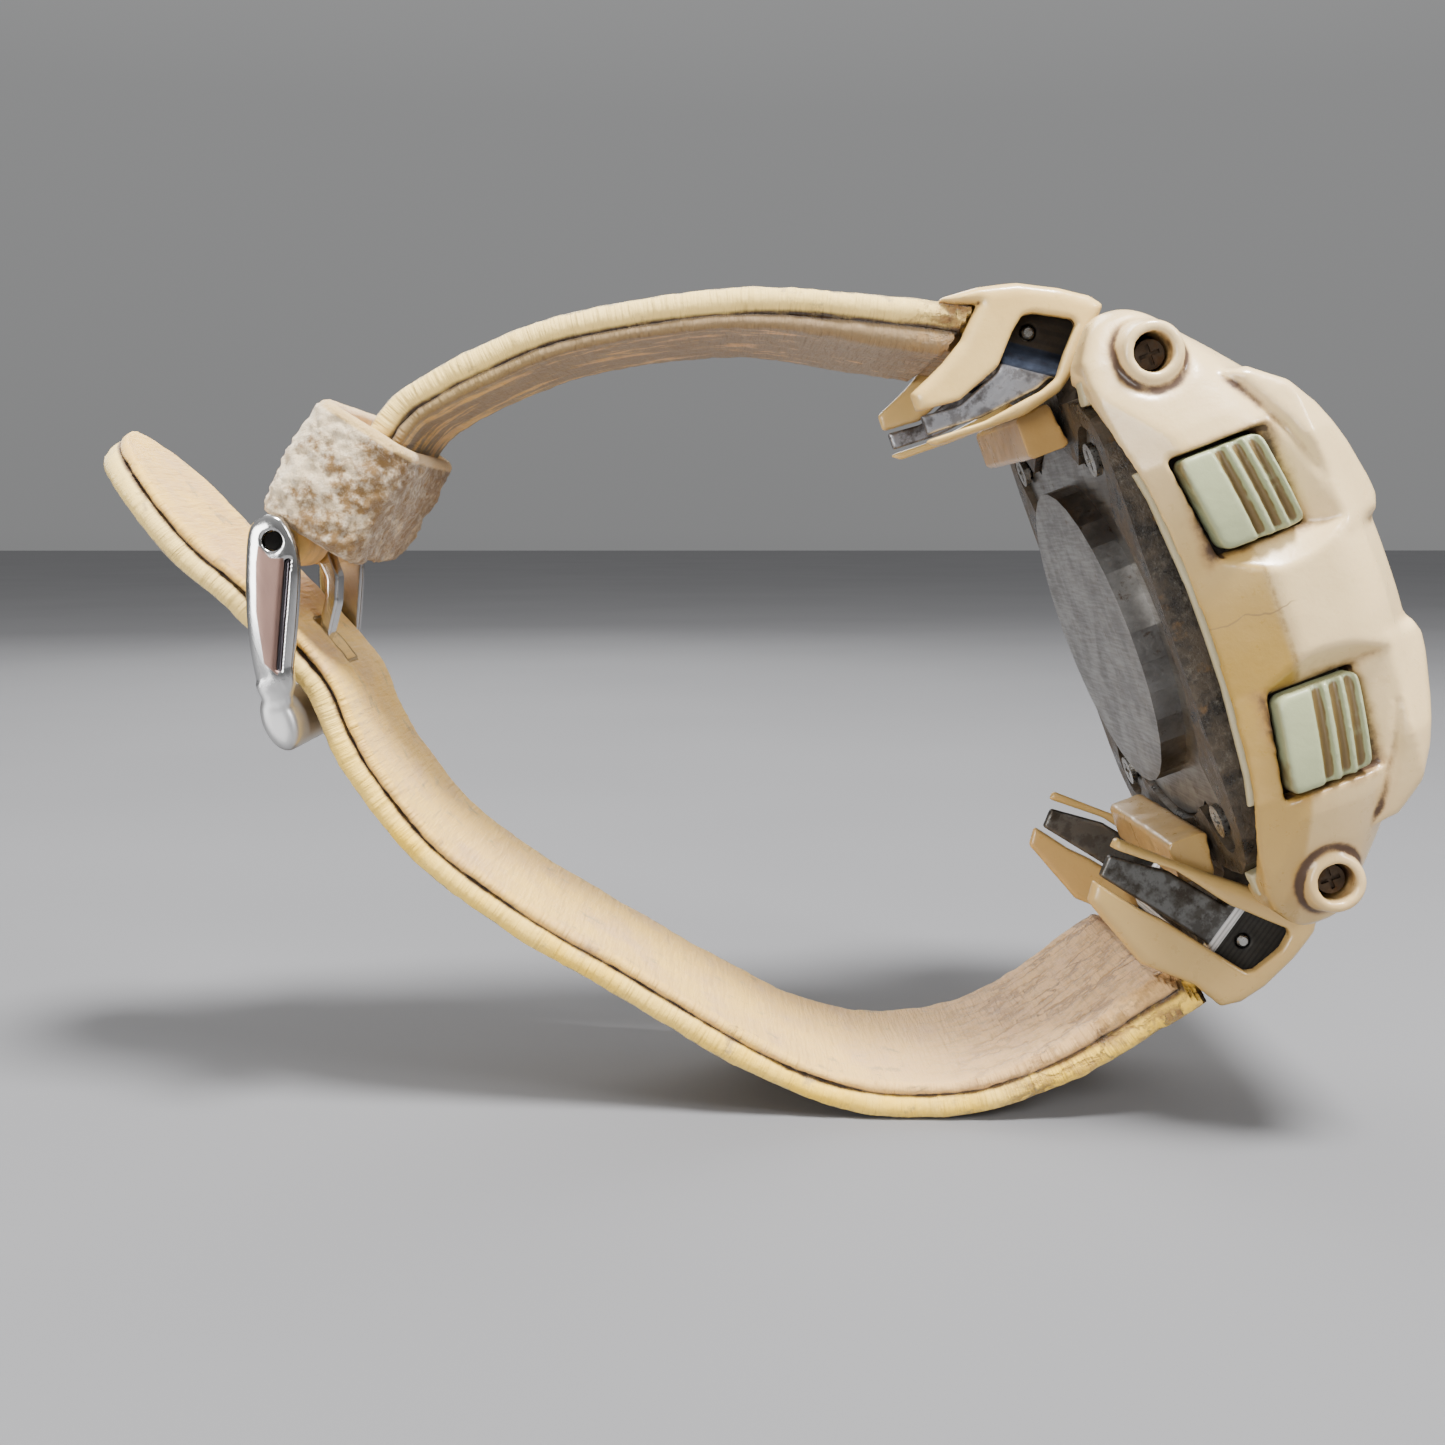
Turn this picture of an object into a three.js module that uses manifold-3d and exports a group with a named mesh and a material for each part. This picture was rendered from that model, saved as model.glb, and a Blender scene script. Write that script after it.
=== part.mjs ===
// Wrist dive computer, buckled, in millimetres.
// Frame: +X out of the display, +Y towards three o'clock, +Z towards twelve o'clock.
// Origin: the middle of the case back's flat outer face.
import * as THREE from "three";
import { mergeVertices } from "three/addons/utils/BufferGeometryUtils.js";
import Module from "manifold-3d";

const wasm = await Module();
wasm.setup();

// ---------------------------------------------------------------- driving dimensions
const GAP = 0.3; // clearance between pieces that touch on the real object
const ROUND = 32; // sides of a large circle
const SMALL_ROUND = 12; // sides of a pin or a screw

const CASE = { halfY: 19.3, halfZ: 20.3, corner: 7, rimX: 1.6, seatX: 3.7, shoulderX: 10.2, cavityR: 15 };
const SHOULDER = { halfZ: 17, frontX: 12.8 }; // the case steps in towards the display
const TURRET = { r: 16, frontX: 15.1, shelfX: 11.7, shelfR: 12.6 }; // the round rim that holds the crystal
const BACK = { discR: 13.5, flangeR: 17.4, flangeX: 2.2, thick: 1.2, earR: 2.5 };
const BACK_SCREW = { y: 14, z: 15.45, shankR: 0.7, headR: 1.4, headHeight: 0.5 };
const BEZEL = { halfY: 23, ringX: 5.3, frontX: 20.2, apertureR: 12.7 };
const BOSS = { x: 7, z: 21.5, outerR: 2.7, holeR: 1.5, postR: 1.6, faceY: 21 };
const PUSHER = { x: 9.3, z: 9.65, sizeX: 6.8, sizeZ: 7.5, backY: 20.3, faceY: 22.8, shaftR: 1 };
const CRYSTAL = { r: 13.6, backX: 13.2, frontX: 15, gasketR: 14.5 };
const PIN = { x: 0.8, z: 26.6, r: 0.75 };
const COVER = { halfY: 13, wall: 1.4 };
const CLIP = { innerY: 10.3, outerY: 11.3, joggle: 0.95 };
const STRAP = { lugHalfY: 12.3, tenonHalfY: 9.9, tipHalfY: 10.1, lugThick: 4.2, midThick: 2.5 };
const BAR = { x: -61.3, z: 32.8, r: 0.75, halfY: 12.6 }; // the buckle's spring bar
const ARM = { innerY: 11.8, outerY: 13 }; // the buckle frame's side arms
const KEEPER = { x: -55.3, z: 35.7, length: 10.4, inner: -4.6, outer: 4.4, halfY: 11.4, thick: 1 };

// ---------------------------------------------------------------- solids
const AXES = {
  X: new THREE.Matrix4().makeBasis(unit(1), unit(2), unit(0)),
  Y: new THREE.Matrix4().makeBasis(unit(2), unit(0), unit(1)),
  Z: new THREE.Matrix4(),
};

function unit(index) {
  return new THREE.Vector3().setComponent(index, 1);
}

function solid(geometry) {
  geometry.deleteAttribute("normal");
  geometry.deleteAttribute("uv");
  const merged = mergeVertices(geometry, 1e-4);
  return new wasm.Manifold(
    new wasm.Mesh({
      numProp: 3,
      vertProperties: merged.attributes.position.array,
      triVerts: new Uint32Array(merged.index.array),
    }),
  );
}

const join = (first, ...others) => others.reduce((whole, next) => whole.add(next), first);
const cut = (first, ...others) => others.reduce((whole, next) => whole.subtract(next), first);

// An outline, with or without a hole, extruded along its own third axis.
function extruded(outline, low, high, hole) {
  const points = outline.map(([a, b]) => new THREE.Vector2(a, b));
  if (THREE.ShapeUtils.isClockWise(points)) points.reverse();
  const shape = new THREE.Shape(points);
  if (hole) shape.holes.push(new THREE.Path(hole.map(([a, b]) => new THREE.Vector2(a, b))));
  const geometry = new THREE.ExtrudeGeometry(shape, { depth: high - low, bevelEnabled: false });
  return geometry.translate(0, 0, low);
}

// A prism along X, Y or Z. Its outline is (y, z) along X, (x, z) along Y and (x, y) along Z.
function prism(axis, outline, low, high, hole) {
  const ordered = (points) => (axis === "Y" ? points.map(([x, z]) => [z, x]) : points);
  return solid(extruded(ordered(outline), low, high, hole && ordered(hole)).applyMatrix4(AXES[axis]));
}

function circle(a, b, r, sides = ROUND) {
  return Array.from({ length: sides }, (_, i) => {
    const turn = (2 * Math.PI * (i + 0.5)) / sides;
    return [a + r * Math.cos(turn), b + r * Math.sin(turn)];
  });
}

const rod = (axis, a, b, r, low, high, sides) => prism(axis, circle(a, b, r, sides), low, high);
const ring = (axis, a, b, inner, outer, low, high, sides) =>
  prism(axis, circle(a, b, outer, sides), low, high, circle(a, b, inner, sides));

function box(x0, x1, y0, y1, z0, z1) {
  return prism("Z", [[x0, y0], [x1, y0], [x1, y1], [x0, y1]], z0, z1);
}

// The outline with each corner replaced by a short curve.
function rounded(points, radius, steps = 3) {
  const out = [];
  points.forEach((point, i) => {
    const corner = new THREE.Vector2(...point);
    const before = new THREE.Vector2(...points.at(i - 1)).sub(corner);
    const after = new THREE.Vector2(...points[(i + 1) % points.length]).sub(corner);
    const reach = Math.min(radius, before.length() * 0.48, after.length() * 0.48);
    const curve = new THREE.QuadraticBezierCurve(
      corner.clone().add(before.setLength(reach)),
      corner,
      corner.clone().add(after.setLength(reach)),
    );
    curve.getPoints(steps).forEach((p) => out.push([p.x, p.y]));
  });
  return out;
}

function roundedRectangle(halfA, halfB, radius, steps) {
  return rounded([[halfA, halfB], [-halfA, halfB], [-halfA, -halfB], [halfA, -halfB]], radius, steps);
}

const mirrorZ = (outline) => outline.map(([x, z]) => [x, -z]);

// ---------------------------------------------------------------- the scene
const diveComputer = new THREE.Group();

const FINISH = {
  cream: { color: 0xe0d3b2, roughness: 0.35, metalness: 0 },
  caseResin: { color: 0x2b2a26, roughness: 0.6, metalness: 0 },
  paleGreen: { color: 0xb0b593, roughness: 0.5, metalness: 0 },
  steel: { color: 0xb4b2ab, roughness: 0.3, metalness: 1 },
  darkSteel: { color: 0x6a6b6b, roughness: 0.4, metalness: 1 },
  leather: { color: 0xe6d09e, roughness: 0.7, metalness: 0 },
  suede: { color: 0xcbbdaa, roughness: 0.95, metalness: 0 },
  rubber: { color: 0x1b1b1b, roughness: 0.8, metalness: 0 },
  glass: { color: 0xdfe8ea, roughness: 0.05, metalness: 0 },
  display: { color: 0x9aa38c, roughness: 0.3, metalness: 0 },
  board: { color: 0x1f5a38, roughness: 0.5, metalness: 0 },
  blackPlastic: { color: 0x1d1e20, roughness: 0.5, metalness: 0 },
  whitePlastic: { color: 0xe9e9e2, roughness: 0.5, metalness: 0 },
};

function add(name, body, finish) {
  const data = body.getMesh();
  const geometry = new THREE.BufferGeometry();
  geometry.setAttribute("position", new THREE.BufferAttribute(data.vertProperties, 3));
  geometry.setIndex(new THREE.BufferAttribute(data.triVerts, 1));
  const mesh = new THREE.Mesh(geometry, new THREE.MeshStandardMaterial(FINISH[finish]));
  mesh.name = name;
  diveComputer.add(mesh);
}

// Every screw, pusher and boss is at one of four places: a side (+Y or -Y) and an end (+Z or -Z).
const PLACES = [
  ["nine_upper", -1, 1],
  ["nine_lower", -1, -1],
  ["three_upper", 1, 1],
  ["three_lower", 1, -1],
];

// A rod, ring or prism outwards along Y from y = low to y = high, on the given side.
const outwards = (side, low, high) => (side > 0 ? [low, high] : [-high, -low]);

// The crossed slots in a screw's head.
function crossSlots(axis, a, b, size, low, high) {
  const arm = (halfA, halfB) => [
    [a - halfA, b - halfB],
    [a + halfA, b - halfB],
    [a + halfA, b + halfB],
    [a - halfA, b + halfB],
  ];
  const slotHalf = 0.16;
  return join(prism(axis, arm(size, slotHalf), low, high), prism(axis, arm(slotHalf, size), low, high));
}

// ---------------------------------------------------------------- case body and lugs
const caseOutline = (grow, halfZ = CASE.halfZ) =>
  roundedRectangle(CASE.halfY + grow, halfZ + grow, CASE.corner + grow, 4);

// The outside of the case without its lugs, in three steps.
function caseSteps(grow) {
  return join(
    prism("X", caseOutline(grow), CASE.rimX, CASE.shoulderX + grow),
    prism("X", caseOutline(grow, SHOULDER.halfZ), CASE.rimX, SHOULDER.frontX + grow),
    rod("X", 0, 0, TURRET.r + grow, CASE.rimX, TURRET.frontX + grow),
  );
}

// The case back: a disc that flares into four ears, one for each screw.
function backOutline(grow) {
  const outline = rod("X", 0, 0, BACK.flangeR + grow, -9, 9);
  const ears = PLACES.map(([, side, end]) => {
    const y = side * BACK_SCREW.y;
    const z = end * BACK_SCREW.z;
    const r = BACK.earR + grow;
    const across = new THREE.Vector2(-z, y).normalize();
    const point = (share, width) => [y * share + across.x * r * width, z * share + across.y * r * width];
    const arm = [point(0.55, -1.7), point(1, -1), point(1, 1), point(0.55, 1.7)];
    return join(rod("X", y, z, r, -9, 9, 20), prism("X", arm, -9, 9));
  });
  return join(outline, ...ears);
}

const slab = (outline, low, high) => outline.intersect(box(low, high, -40, 40, -40, 40));

// The lug holds a strap pin past each end of the case.
function lug(end) {
  const r = 2;
  const arm = [
    [CASE.seatX + 1.2, 18.5],
    [1.9, 18.5],
    [1.9, 21.4],
    [PIN.x - r, PIN.z - 0.6],
    [PIN.x + r * 0.7, PIN.z + r * 0.7],
    [CASE.seatX + 1.2, 22.6],
  ].map(([x, z]) => [x, z * end]);
  const eye = rod("Y", PIN.x, end * PIN.z, r, -8.4, 8.4, 20);
  return join(prism("Y", arm, -8.4, 8.4), eye);
}

function caseBody() {
  const hollows = [
    slab(backOutline(GAP), -5, CASE.seatX),
    rod("X", 0, 0, CASE.cavityR, CASE.seatX - 1, TURRET.shelfX),
    rod("X", 0, 0, TURRET.shelfR, TURRET.shelfX - 1, 20),
    rod("X", 0, 0, CRYSTAL.gasketR + GAP, CRYSTAL.backX - GAP, 20),
    ring("X", 0, 0, 15.3, 16.7, CASE.seatX - 0.1, 5),
  ];
  const bores = [1, -1].map((end) => rod("Y", PIN.x, end * PIN.z, PIN.r + GAP, -9, 9, SMALL_ROUND));
  PLACES.forEach(([, side, end]) => {
    const z = end * PUSHER.z;
    bores.push(
      rod("X", side * BACK_SCREW.y, end * BACK_SCREW.z, BACK_SCREW.shankR + GAP, 3, 9, SMALL_ROUND),
      rod("Y", PUSHER.x, z, PUSHER.shaftR + GAP, ...outwards(side, 10, 22), SMALL_ROUND),
      rod("Y", PUSHER.x, z, 2.4, ...outwards(side, 15.2, 22), SMALL_ROUND),
      box(PUSHER.x - 2, PUSHER.x + 2, ...outwards(side, 9, 13.2), z - 2, z + 2),
      rod("Y", BOSS.x, end * BOSS.z, 0.9, ...outwards(side, 12, 22), SMALL_ROUND),
    );
  });
  const sensorPocket = rod("Y", PUSHER.x, 0, 2.7, 15.4, 22, 20);
  const sensorWires = rod("Y", PUSHER.x, 0, 1, 13, 16, SMALL_ROUND);
  const posts = PLACES.map(([, side, end]) =>
    rod("Y", BOSS.x, end * BOSS.z, BOSS.postR, ...outwards(side, 6, 15.2), 16),
  );
  const body = join(caseSteps(0), lug(1), lug(-1), ...posts);
  return cut(body, ...hollows, ...bores, sensorPocket, sensorWires);
}
add("case_body", caseBody(), "caseResin");

// ---------------------------------------------------------------- case back
function caseBack() {
  const flange = slab(backOutline(0), BACK.flangeX, BACK.flangeX + BACK.thick);
  const disc = prism("X", circle(0, 0, BACK.discR), 0, BACK.flangeX + 0.5);
  const recess = rod("X", 0, 0, BACK.discR - BACK.thick, BACK.thick, 9);
  const holes = PLACES.map(([, side, end]) =>
    rod("X", side * BACK_SCREW.y, end * BACK_SCREW.z, BACK_SCREW.shankR + GAP, 0, 9, SMALL_ROUND),
  );
  return cut(join(flange, disc), recess, ...holes);
}
add("case_back", caseBack(), "steel");
add("case_back_gasket", ring("X", 0, 0, 15.6, 16.4, CASE.seatX, 4.7), "rubber");

PLACES.forEach(([place, side, end]) => {
  const y = side * BACK_SCREW.y;
  const z = end * BACK_SCREW.z;
  const top = BACK.flangeX - GAP;
  const head = rod("X", y, z, BACK_SCREW.headR, top - BACK_SCREW.headHeight, top, 16);
  const shank = rod("X", y, z, BACK_SCREW.shankR, top - 0.1, 8, 8);
  const slots = crossSlots("X", y, z, 0.8, top - 1, top - 0.25);
  add("back_screw_" + place, cut(join(head, shank), slots), "steel");
});

// ---------------------------------------------------------------- module, from the back to the front
add("piezo_sounder", rod("X", 0, 0, 7, 1.5, 2, 24), "steel");
add("battery", rod("X", 0, 0, 11.7, 4.4, 7.2, 32), "steel");
add("battery_clip", box(3.8, 4.1, -2.6, 2.6, -13.2, 13.2), "darkSteel");
add("module_holder", ring("X", 0, 0, 12.1, 14.6, 4.4, 7.3, 32), "whitePlastic");
add(
  "circuit_board",
  cut(rod("X", 0, 0, 12.8, 7.6, 8.6, 32), box(7, 10, 10.8, 14, -3, 3)),
  "board",
);
add("backlight_panel", box(8.9, 9.7, -8.6, 8.6, -6.2, 6.2), "whitePlastic");
[["upper", 1], ["lower", -1]].forEach(([place, end]) => {
  add("zebra_connector_" + place, box(8.9, 10.2, -8.6, 8.6, ...outwards(end, 7, 8.6)), "rubber");
});
add("lcd_panel", box(10.5, 11.5, -9.2, 9.2, -9, 9), "display");
function displayMask() {
  const window = roundedRectangle(8.4, 7.2, 2, 3);
  return cut(rod("X", 0, 0, 12.3, 11.9, 12.7, 32), prism("X", window, 11, 14));
}
add("display_mask", displayMask(), "blackPlastic");
add("crystal", rod("X", 0, 0, CRYSTAL.r, CRYSTAL.backX, CRYSTAL.frontX), "glass");
add(
  "crystal_gasket",
  ring("X", 0, 0, CRYSTAL.r + GAP, CRYSTAL.gasketR, CRYSTAL.backX, CRYSTAL.frontX),
  "rubber",
);
add("pressure_sensor", rod("Y", PUSHER.x, 0, 2.4, 15.7, 17.8, 20), "steel");

function sensorCap() {
  const cap = rod("Y", PUSHER.x, 0, 2.4, 18.1, 19.1, 20);
  const ports = circle(PUSHER.x, 0, 1.3, 6).map(([x, z]) => rod("Y", x, z, 0.35, 17, 21, 6));
  return cut(cap, ...ports);
}
add("sensor_cap", sensorCap(), "steel");

// ---------------------------------------------------------------- bezel and guard ring
// Side view, (x, z): low over the ends, high over the display, arched along the back edge.
const bezelFront = [
  [5, 25.6], [7.6, 25.3], [9.6, 23.8], [13.8, 19.2], [17.4, 14.9], [19.3, 9.6], [BEZEL.frontX, 5],
];
const bezelBack = [[4.4, 25.4], [2, 22], [2, 17], [3.2, 11.3], [3.9, 4]];

function bezelSide() {
  const upper = [...bezelBack.toReversed(), ...bezelFront];
  return [...upper, ...mirrorZ(upper).toReversed()];
}

// Front view, (y, z): flat flanks with cut corners.
function bezelFace(grow) {
  const y = BEZEL.halfY + grow;
  return rounded(
    [[y, 13.5], [y - 3, 21.5], [y - 6.5, 25.7 + grow], [6.5 - y, 25.7 + grow], [3 - y, 21.5], [-y, 13.5],
      [-y, -13.5], [3 - y, -21.5], [6.5 - y, -25.7 - grow], [y - 6.5, -25.7 - grow], [y - 3, -21.5],
      [y, -13.5]],
    2,
    2,
  );
}

// End view, (x, y): the flanks lean in over the shoulders.
function bezelEnd() {
  const half = [[0, BEZEL.halfY], [13.4, BEZEL.halfY], [17.4, 19.4], [BEZEL.frontX + 1, 16.6]];
  return [...half, ...half.map(([x, y]) => [x, -y]).toReversed()];
}

function bezel() {
  const front = prism("X", bezelFace(0), 0, 22);
  const side = prism("Y", bezelSide(), -24, 24);
  const flanks = prism("Z", bezelEnd(), -27, 27);
  const bosses = PLACES.map(([, face, end]) =>
    rod("Y", BOSS.x, end * BOSS.z, BOSS.outerR, ...outwards(face, 15, BOSS.faceY), 24),
  );
  const linkRoom = [[7.7, 27], [7.7, 25], [4.7, 21.9], [1.6, 20.6], [-5, 20.2], [-5, 27]];
  const cuts = [
    caseSteps(GAP),
    prism("X", caseOutline(GAP), 0, CASE.rimX + 1),
    prism("X", caseOutline(1.9), 0, BEZEL.ringX),
    rod("X", 0, 0, BEZEL.apertureR, 15, 22),
    prism("Y", linkRoom, -13.7, 13.7),
    prism("Y", mirrorZ(linkRoom), -13.7, 13.7),
    rod("Y", PUSHER.x, 0, 2.1, 15, 24, 20),
  ];
  PLACES.forEach(([, face, end]) => {
    const z = end * PUSHER.z;
    const halfX = PUSHER.sizeX / 2 + GAP;
    const halfZ = PUSHER.sizeZ / 2 + GAP;
    const low = [PUSHER.x - halfX, PUSHER.x + halfX];
    cuts.push(
      box(...low, ...outwards(face, 15, 26), z - halfZ, z + halfZ),
      rod("Y", BOSS.x, end * BOSS.z, BOSS.holeR, ...outwards(face, 16.3, 26), 20),
      rod("Y", BOSS.x, end * BOSS.z, 0.9, ...outwards(face, 14, 26), SMALL_ROUND),
      rod("Y", BOSS.x, end * BOSS.z, BOSS.postR + GAP, ...outwards(face, 0, 15.5), 16),
    );
  });
  return cut(join(front.intersect(side).intersect(flanks), ...bosses), ...cuts);
}
add("bezel", bezel(), "cream");

function guardRing() {
  const outer = prism("X", caseOutline(1.6), 3, 5);
  const link = prism("Y", [[0, 18.4], [6, 18.4], [6, 30], [0, 30]], -13.7, 13.7);
  const linkBelow = prism("Y", [[0, -30], [6, -30], [6, -18.4], [0, -18.4]], -13.7, 13.7);
  return cut(outer, prism("X", caseOutline(GAP), 0, 9), link, linkBelow).decompose();
}
guardRing().forEach((strip) => {
  const middle = (strip.boundingBox().min[1] + strip.boundingBox().max[1]) / 2;
  add(middle < 0 ? "guard_strip_nine" : "guard_strip_three", strip, "paleGreen");
});

PLACES.forEach(([place, side, end]) => {
  const [low, high] = outwards(side, 16.6, 19.2);
  const head = rod("Y", BOSS.x, end * BOSS.z, 1.15, low, high, 16);
  const face = side > 0 ? [high - 0.3, high + 1] : [low - 1, low + 0.3];
  const shank = rod("Y", BOSS.x, end * BOSS.z, 0.6, ...outwards(side, 12.5, 17), 8);
  const slots = crossSlots("Y", BOSS.x, end * BOSS.z, 0.8, ...face);
  add("bezel_screw_" + place, cut(join(head, shank), slots), "darkSteel");
});

// ---------------------------------------------------------------- pushers
PLACES.forEach(([place, side, end]) => {
  const z = end * PUSHER.z;
  const halfX = PUSHER.sizeX / 2;
  const halfZ = PUSHER.sizeZ / 2;
  const span = (low, high) => outwards(side, low, high);
  const capSpan = span(PUSHER.backY, PUSHER.faceY);
  const cap = box(PUSHER.x - halfX, PUSHER.x + halfX, ...capSpan, z - halfZ, z + halfZ);
  const grooves = [0.2, 1.5, 2.8].map((x) =>
    box(PUSHER.x + x - 0.25, PUSHER.x + x + 0.25, ...span(PUSHER.faceY - 0.7, 26), z - 5, z + 5),
  );
  const shaft = rod("Y", PUSHER.x, z, PUSHER.shaftR, ...span(11.2, PUSHER.backY + 0.1), SMALL_ROUND);
  const clipGroove = ring("Y", PUSHER.x, z, 0.7, 2, ...span(12.1, 13), SMALL_ROUND);
  add("pusher_" + place, cut(join(cap, shaft), clipGroove, ...grooves), "paleGreen");
  add("pusher_clip_" + place, ring("Y", PUSHER.x, z, 1, 1.7, ...span(12.4, 12.7), SMALL_ROUND), "steel");
  add("pusher_seal_" + place, ring("Y", PUSHER.x, z, 1.3, 2.1, ...span(15.5, 16.2), SMALL_ROUND), "rubber");
  add("pusher_spring_" + place, spring(z, ...span(16.6, 19.9)), "steel");
});

// A coil spring round a pusher's shaft.
function spring(z, low, high) {
  const turns = 3;
  const coilR = 1.75;
  const wireR = 0.2;
  const points = Array.from({ length: turns * 10 + 1 }, (_, i) => {
    const turn = (2 * Math.PI * i) / 10;
    const y = low + wireR + ((high - low - 2 * wireR) * i) / (turns * 10);
    return new THREE.Vector3(PUSHER.x + coilR * Math.cos(turn), y, z + coilR * Math.sin(turn));
  });
  const path = new THREE.CatmullRomCurve3(points);
  const wire = new THREE.Shape(circle(0, 0, wireR, 5).map(([a, b]) => new THREE.Vector2(a, b)));
  return solid(new THREE.ExtrudeGeometry(wire, { steps: turns * 10, extrudePath: path }));
}

// ---------------------------------------------------------------- end links
// Each link is a resin cover over a steel clip, hinged on the pin in the case's lug.
// Side views, (x, z). The two covers differ: the upper one is bent by its strap.
const UPPER_COVER = {
  end: 1,
  outline: [
    [6.9, 26.5], [6.1, 27.6], [4, 29], [1, 30.5], [-2, 31.3], [-5.2, 31.6], [-4.2, 30.2], [-2.6, 29.4],
    [-4.4, 27.8], [-7.7, 26.2], [-9.8, 25], [-10, 21.6], [-9.2, 21], [-5, 20.7], [-1.8, 20.8], [1.4, 21.5],
    [4, 23.1],
  ],
  window: [
    [0.8, 28], [4.3, 25.9], [0.5, 22.4], [-5, 21.7], [-11, 22], [-11, 24], [-6.3, 23.8], [-2.5, 25],
    [-1.1, 26.6],
  ],
  plate: [
    [-1.3, 25.6], [-2.7, 24.5], [-6.4, 23.3], [-9.6, 23.4], [-9.6, 22.5], [-5, 22.1], [0.3, 22.8], [1, 24],
  ],
};
const LOWER_COVER = {
  end: -1,
  outline: [
    [7, 26.6], [6.4, 27.6], [4, 29.2], [1, 30.6], [-1.2, 31.1], [-3, 30.9], [-4.4, 28.4], [-8, 25],
    [-10.4, 18.4], [-9.2, 16.7], [-6.4, 14.2], [-2.2, 18], [0.2, 20.1], [4.2, 23.4],
  ],
  window: [
    [0.6, 28.5], [4.4, 26.4], [0.6, 22.5], [-3, 18.6], [-7.4, 14.6], [-9.6, 16.4], [-5.7, 21.7], [-2.3, 25.6],
  ],
  plate: [[-1.9, 25.1], [-5.3, 21.2], [-8.5, 17.1], [-7.3, 15.9], [-3.1, 19.2], [0.2, 22.8], [-0.4, 24.4]],
};
const flip = (outline, end) => outline.map(([x, z]) => [x, end * z]);

function linkCover({ end, outline, window }) {
  const block = prism("Y", flip(rounded(outline, 0.8, 2), end), -COVER.halfY, COVER.halfY);
  const inside = COVER.halfY - COVER.wall;
  const under = [[6, 26.2], [5.4, 26.8], [3.4, 28.1], [0.6, 29.3], [-2, 30], [-12, 30.9], [-12, 10], [6, 10]];
  const hollow = prism("Y", flip(under, end), -inside, inside);
  const slot = prism("Y", flip(window, end), -COVER.halfY - 1, COVER.halfY + 1);
  return cut(block, hollow, slot);
}

// The clip's arms sit inside the cover at the pin and step out into its slots past the bend.
function linkClip({ end, plate }) {
  const bend = -1.6;
  const near = [[-2.7, 24.2], [-2.7, 28.6], [0.6, 28.6], [4, 26.2], [0.4, 22.6]];
  const arms = [-1, 1].flatMap((side) => {
    const inner = outwards(side, CLIP.innerY, CLIP.outerY);
    const outer = outwards(side, CLIP.innerY + CLIP.joggle, CLIP.outerY + CLIP.joggle);
    const wall = (low, high, span) =>
      prism("Y", flip(plate, end), ...span).intersect(box(low, high, -20, 20, -40, 40));
    return [
      prism("Y", flip(near, end), ...inner),
      wall(-10.4, bend, outer),
      wall(bend - 0.9, bend + 0.3, outwards(side, CLIP.innerY, CLIP.outerY + CLIP.joggle)),
    ];
  });
  const web = box(-2.7, -1.9, -CLIP.innerY - 0.1, CLIP.innerY + 0.1, ...outwards(end, 24.4, 28.6));
  const hole = rod("Y", PIN.x, end * PIN.z, PIN.r + GAP, -20, 20, SMALL_ROUND);
  return cut(join(web, ...arms), hole);
}

[["upper", UPPER_COVER], ["lower", LOWER_COVER]].forEach(([place, cover]) => {
  const z = cover.end * PIN.z;
  add(place + "_link_cover", linkCover(cover), "cream");
  add(place + "_link_clip", linkClip(cover), "darkSteel");
  add(place + "_link_pin", rod("Y", PIN.x, z, PIN.r, -11.4, 11.4, SMALL_ROUND), "steel");
  const tab = rounded([[-2.2, 17], [-2.2, 20.6], [0.8, 20.9], [1, 18.9], [1.3, 17]], 0.4, 2);
  add(place + "_end_tab", prism("Y", flip(tab, cover.end), -10, 10), "cream");
});

// ---------------------------------------------------------------- straps
// A strap's centre line, (x, z), from its lug end, and its thickness at each point.
const UPPER_LINE = [
  [-3.9, 28.4], [-8.6, 31], [-19.8, 36.6], [-33.2, 39.8], [-41.2, 39.9], [-45.3, 39.5], [-48.6, 38.7],
  [-54.7, 34.9], [-60.2, 32.8],
];
const LOWER_LINE = [
  [-3.9, -28.2], [-8.3, -29.2], [-17.6, -31.3], [-27.1, -30.7], [-37.6, -25], [-49.7, -10.4], [-55.4, -3],
  [-60, 4.6], [-62.3, 12], [-62.9, 16.5], [-63, 20.3], [-64.1, 24], [-65.3, 27],
];
const TAIL_LINE = [[-65.9, 28.6], [-67.3, 31.6], [-69.1, 35], [-71.6, 42], [-73.2, 45.8]];
const strapThickness = (x) =>
  THREE.MathUtils.mapLinear(THREE.MathUtils.clamp(x, -22, -6), -22, -6, STRAP.midThick, STRAP.lugThick);
const strapHalfY = (x) =>
  THREE.MathUtils.mapLinear(THREE.MathUtils.clamp(x, -50, -10), -50, -10, STRAP.tipHalfY, STRAP.lugHalfY);

// The outline of a band along a centre line.
function band(line, samples) {
  const curve = new THREE.SplineCurve(line.map(([x, z]) => new THREE.Vector2(x, z)));
  const sides = [[], []];
  for (let i = 0; i <= samples; i++) {
    const middle = curve.getPointAt(i / samples);
    const along = curve.getTangentAt(i / samples);
    const half = strapThickness(middle.x) / 2;
    sides[0].push([middle.x - along.y * half, middle.y + along.x * half]);
    sides[1].unshift([middle.x + along.y * half, middle.y - along.x * half]);
  }
  return [...sides[0], ...sides[1]];
}

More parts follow.
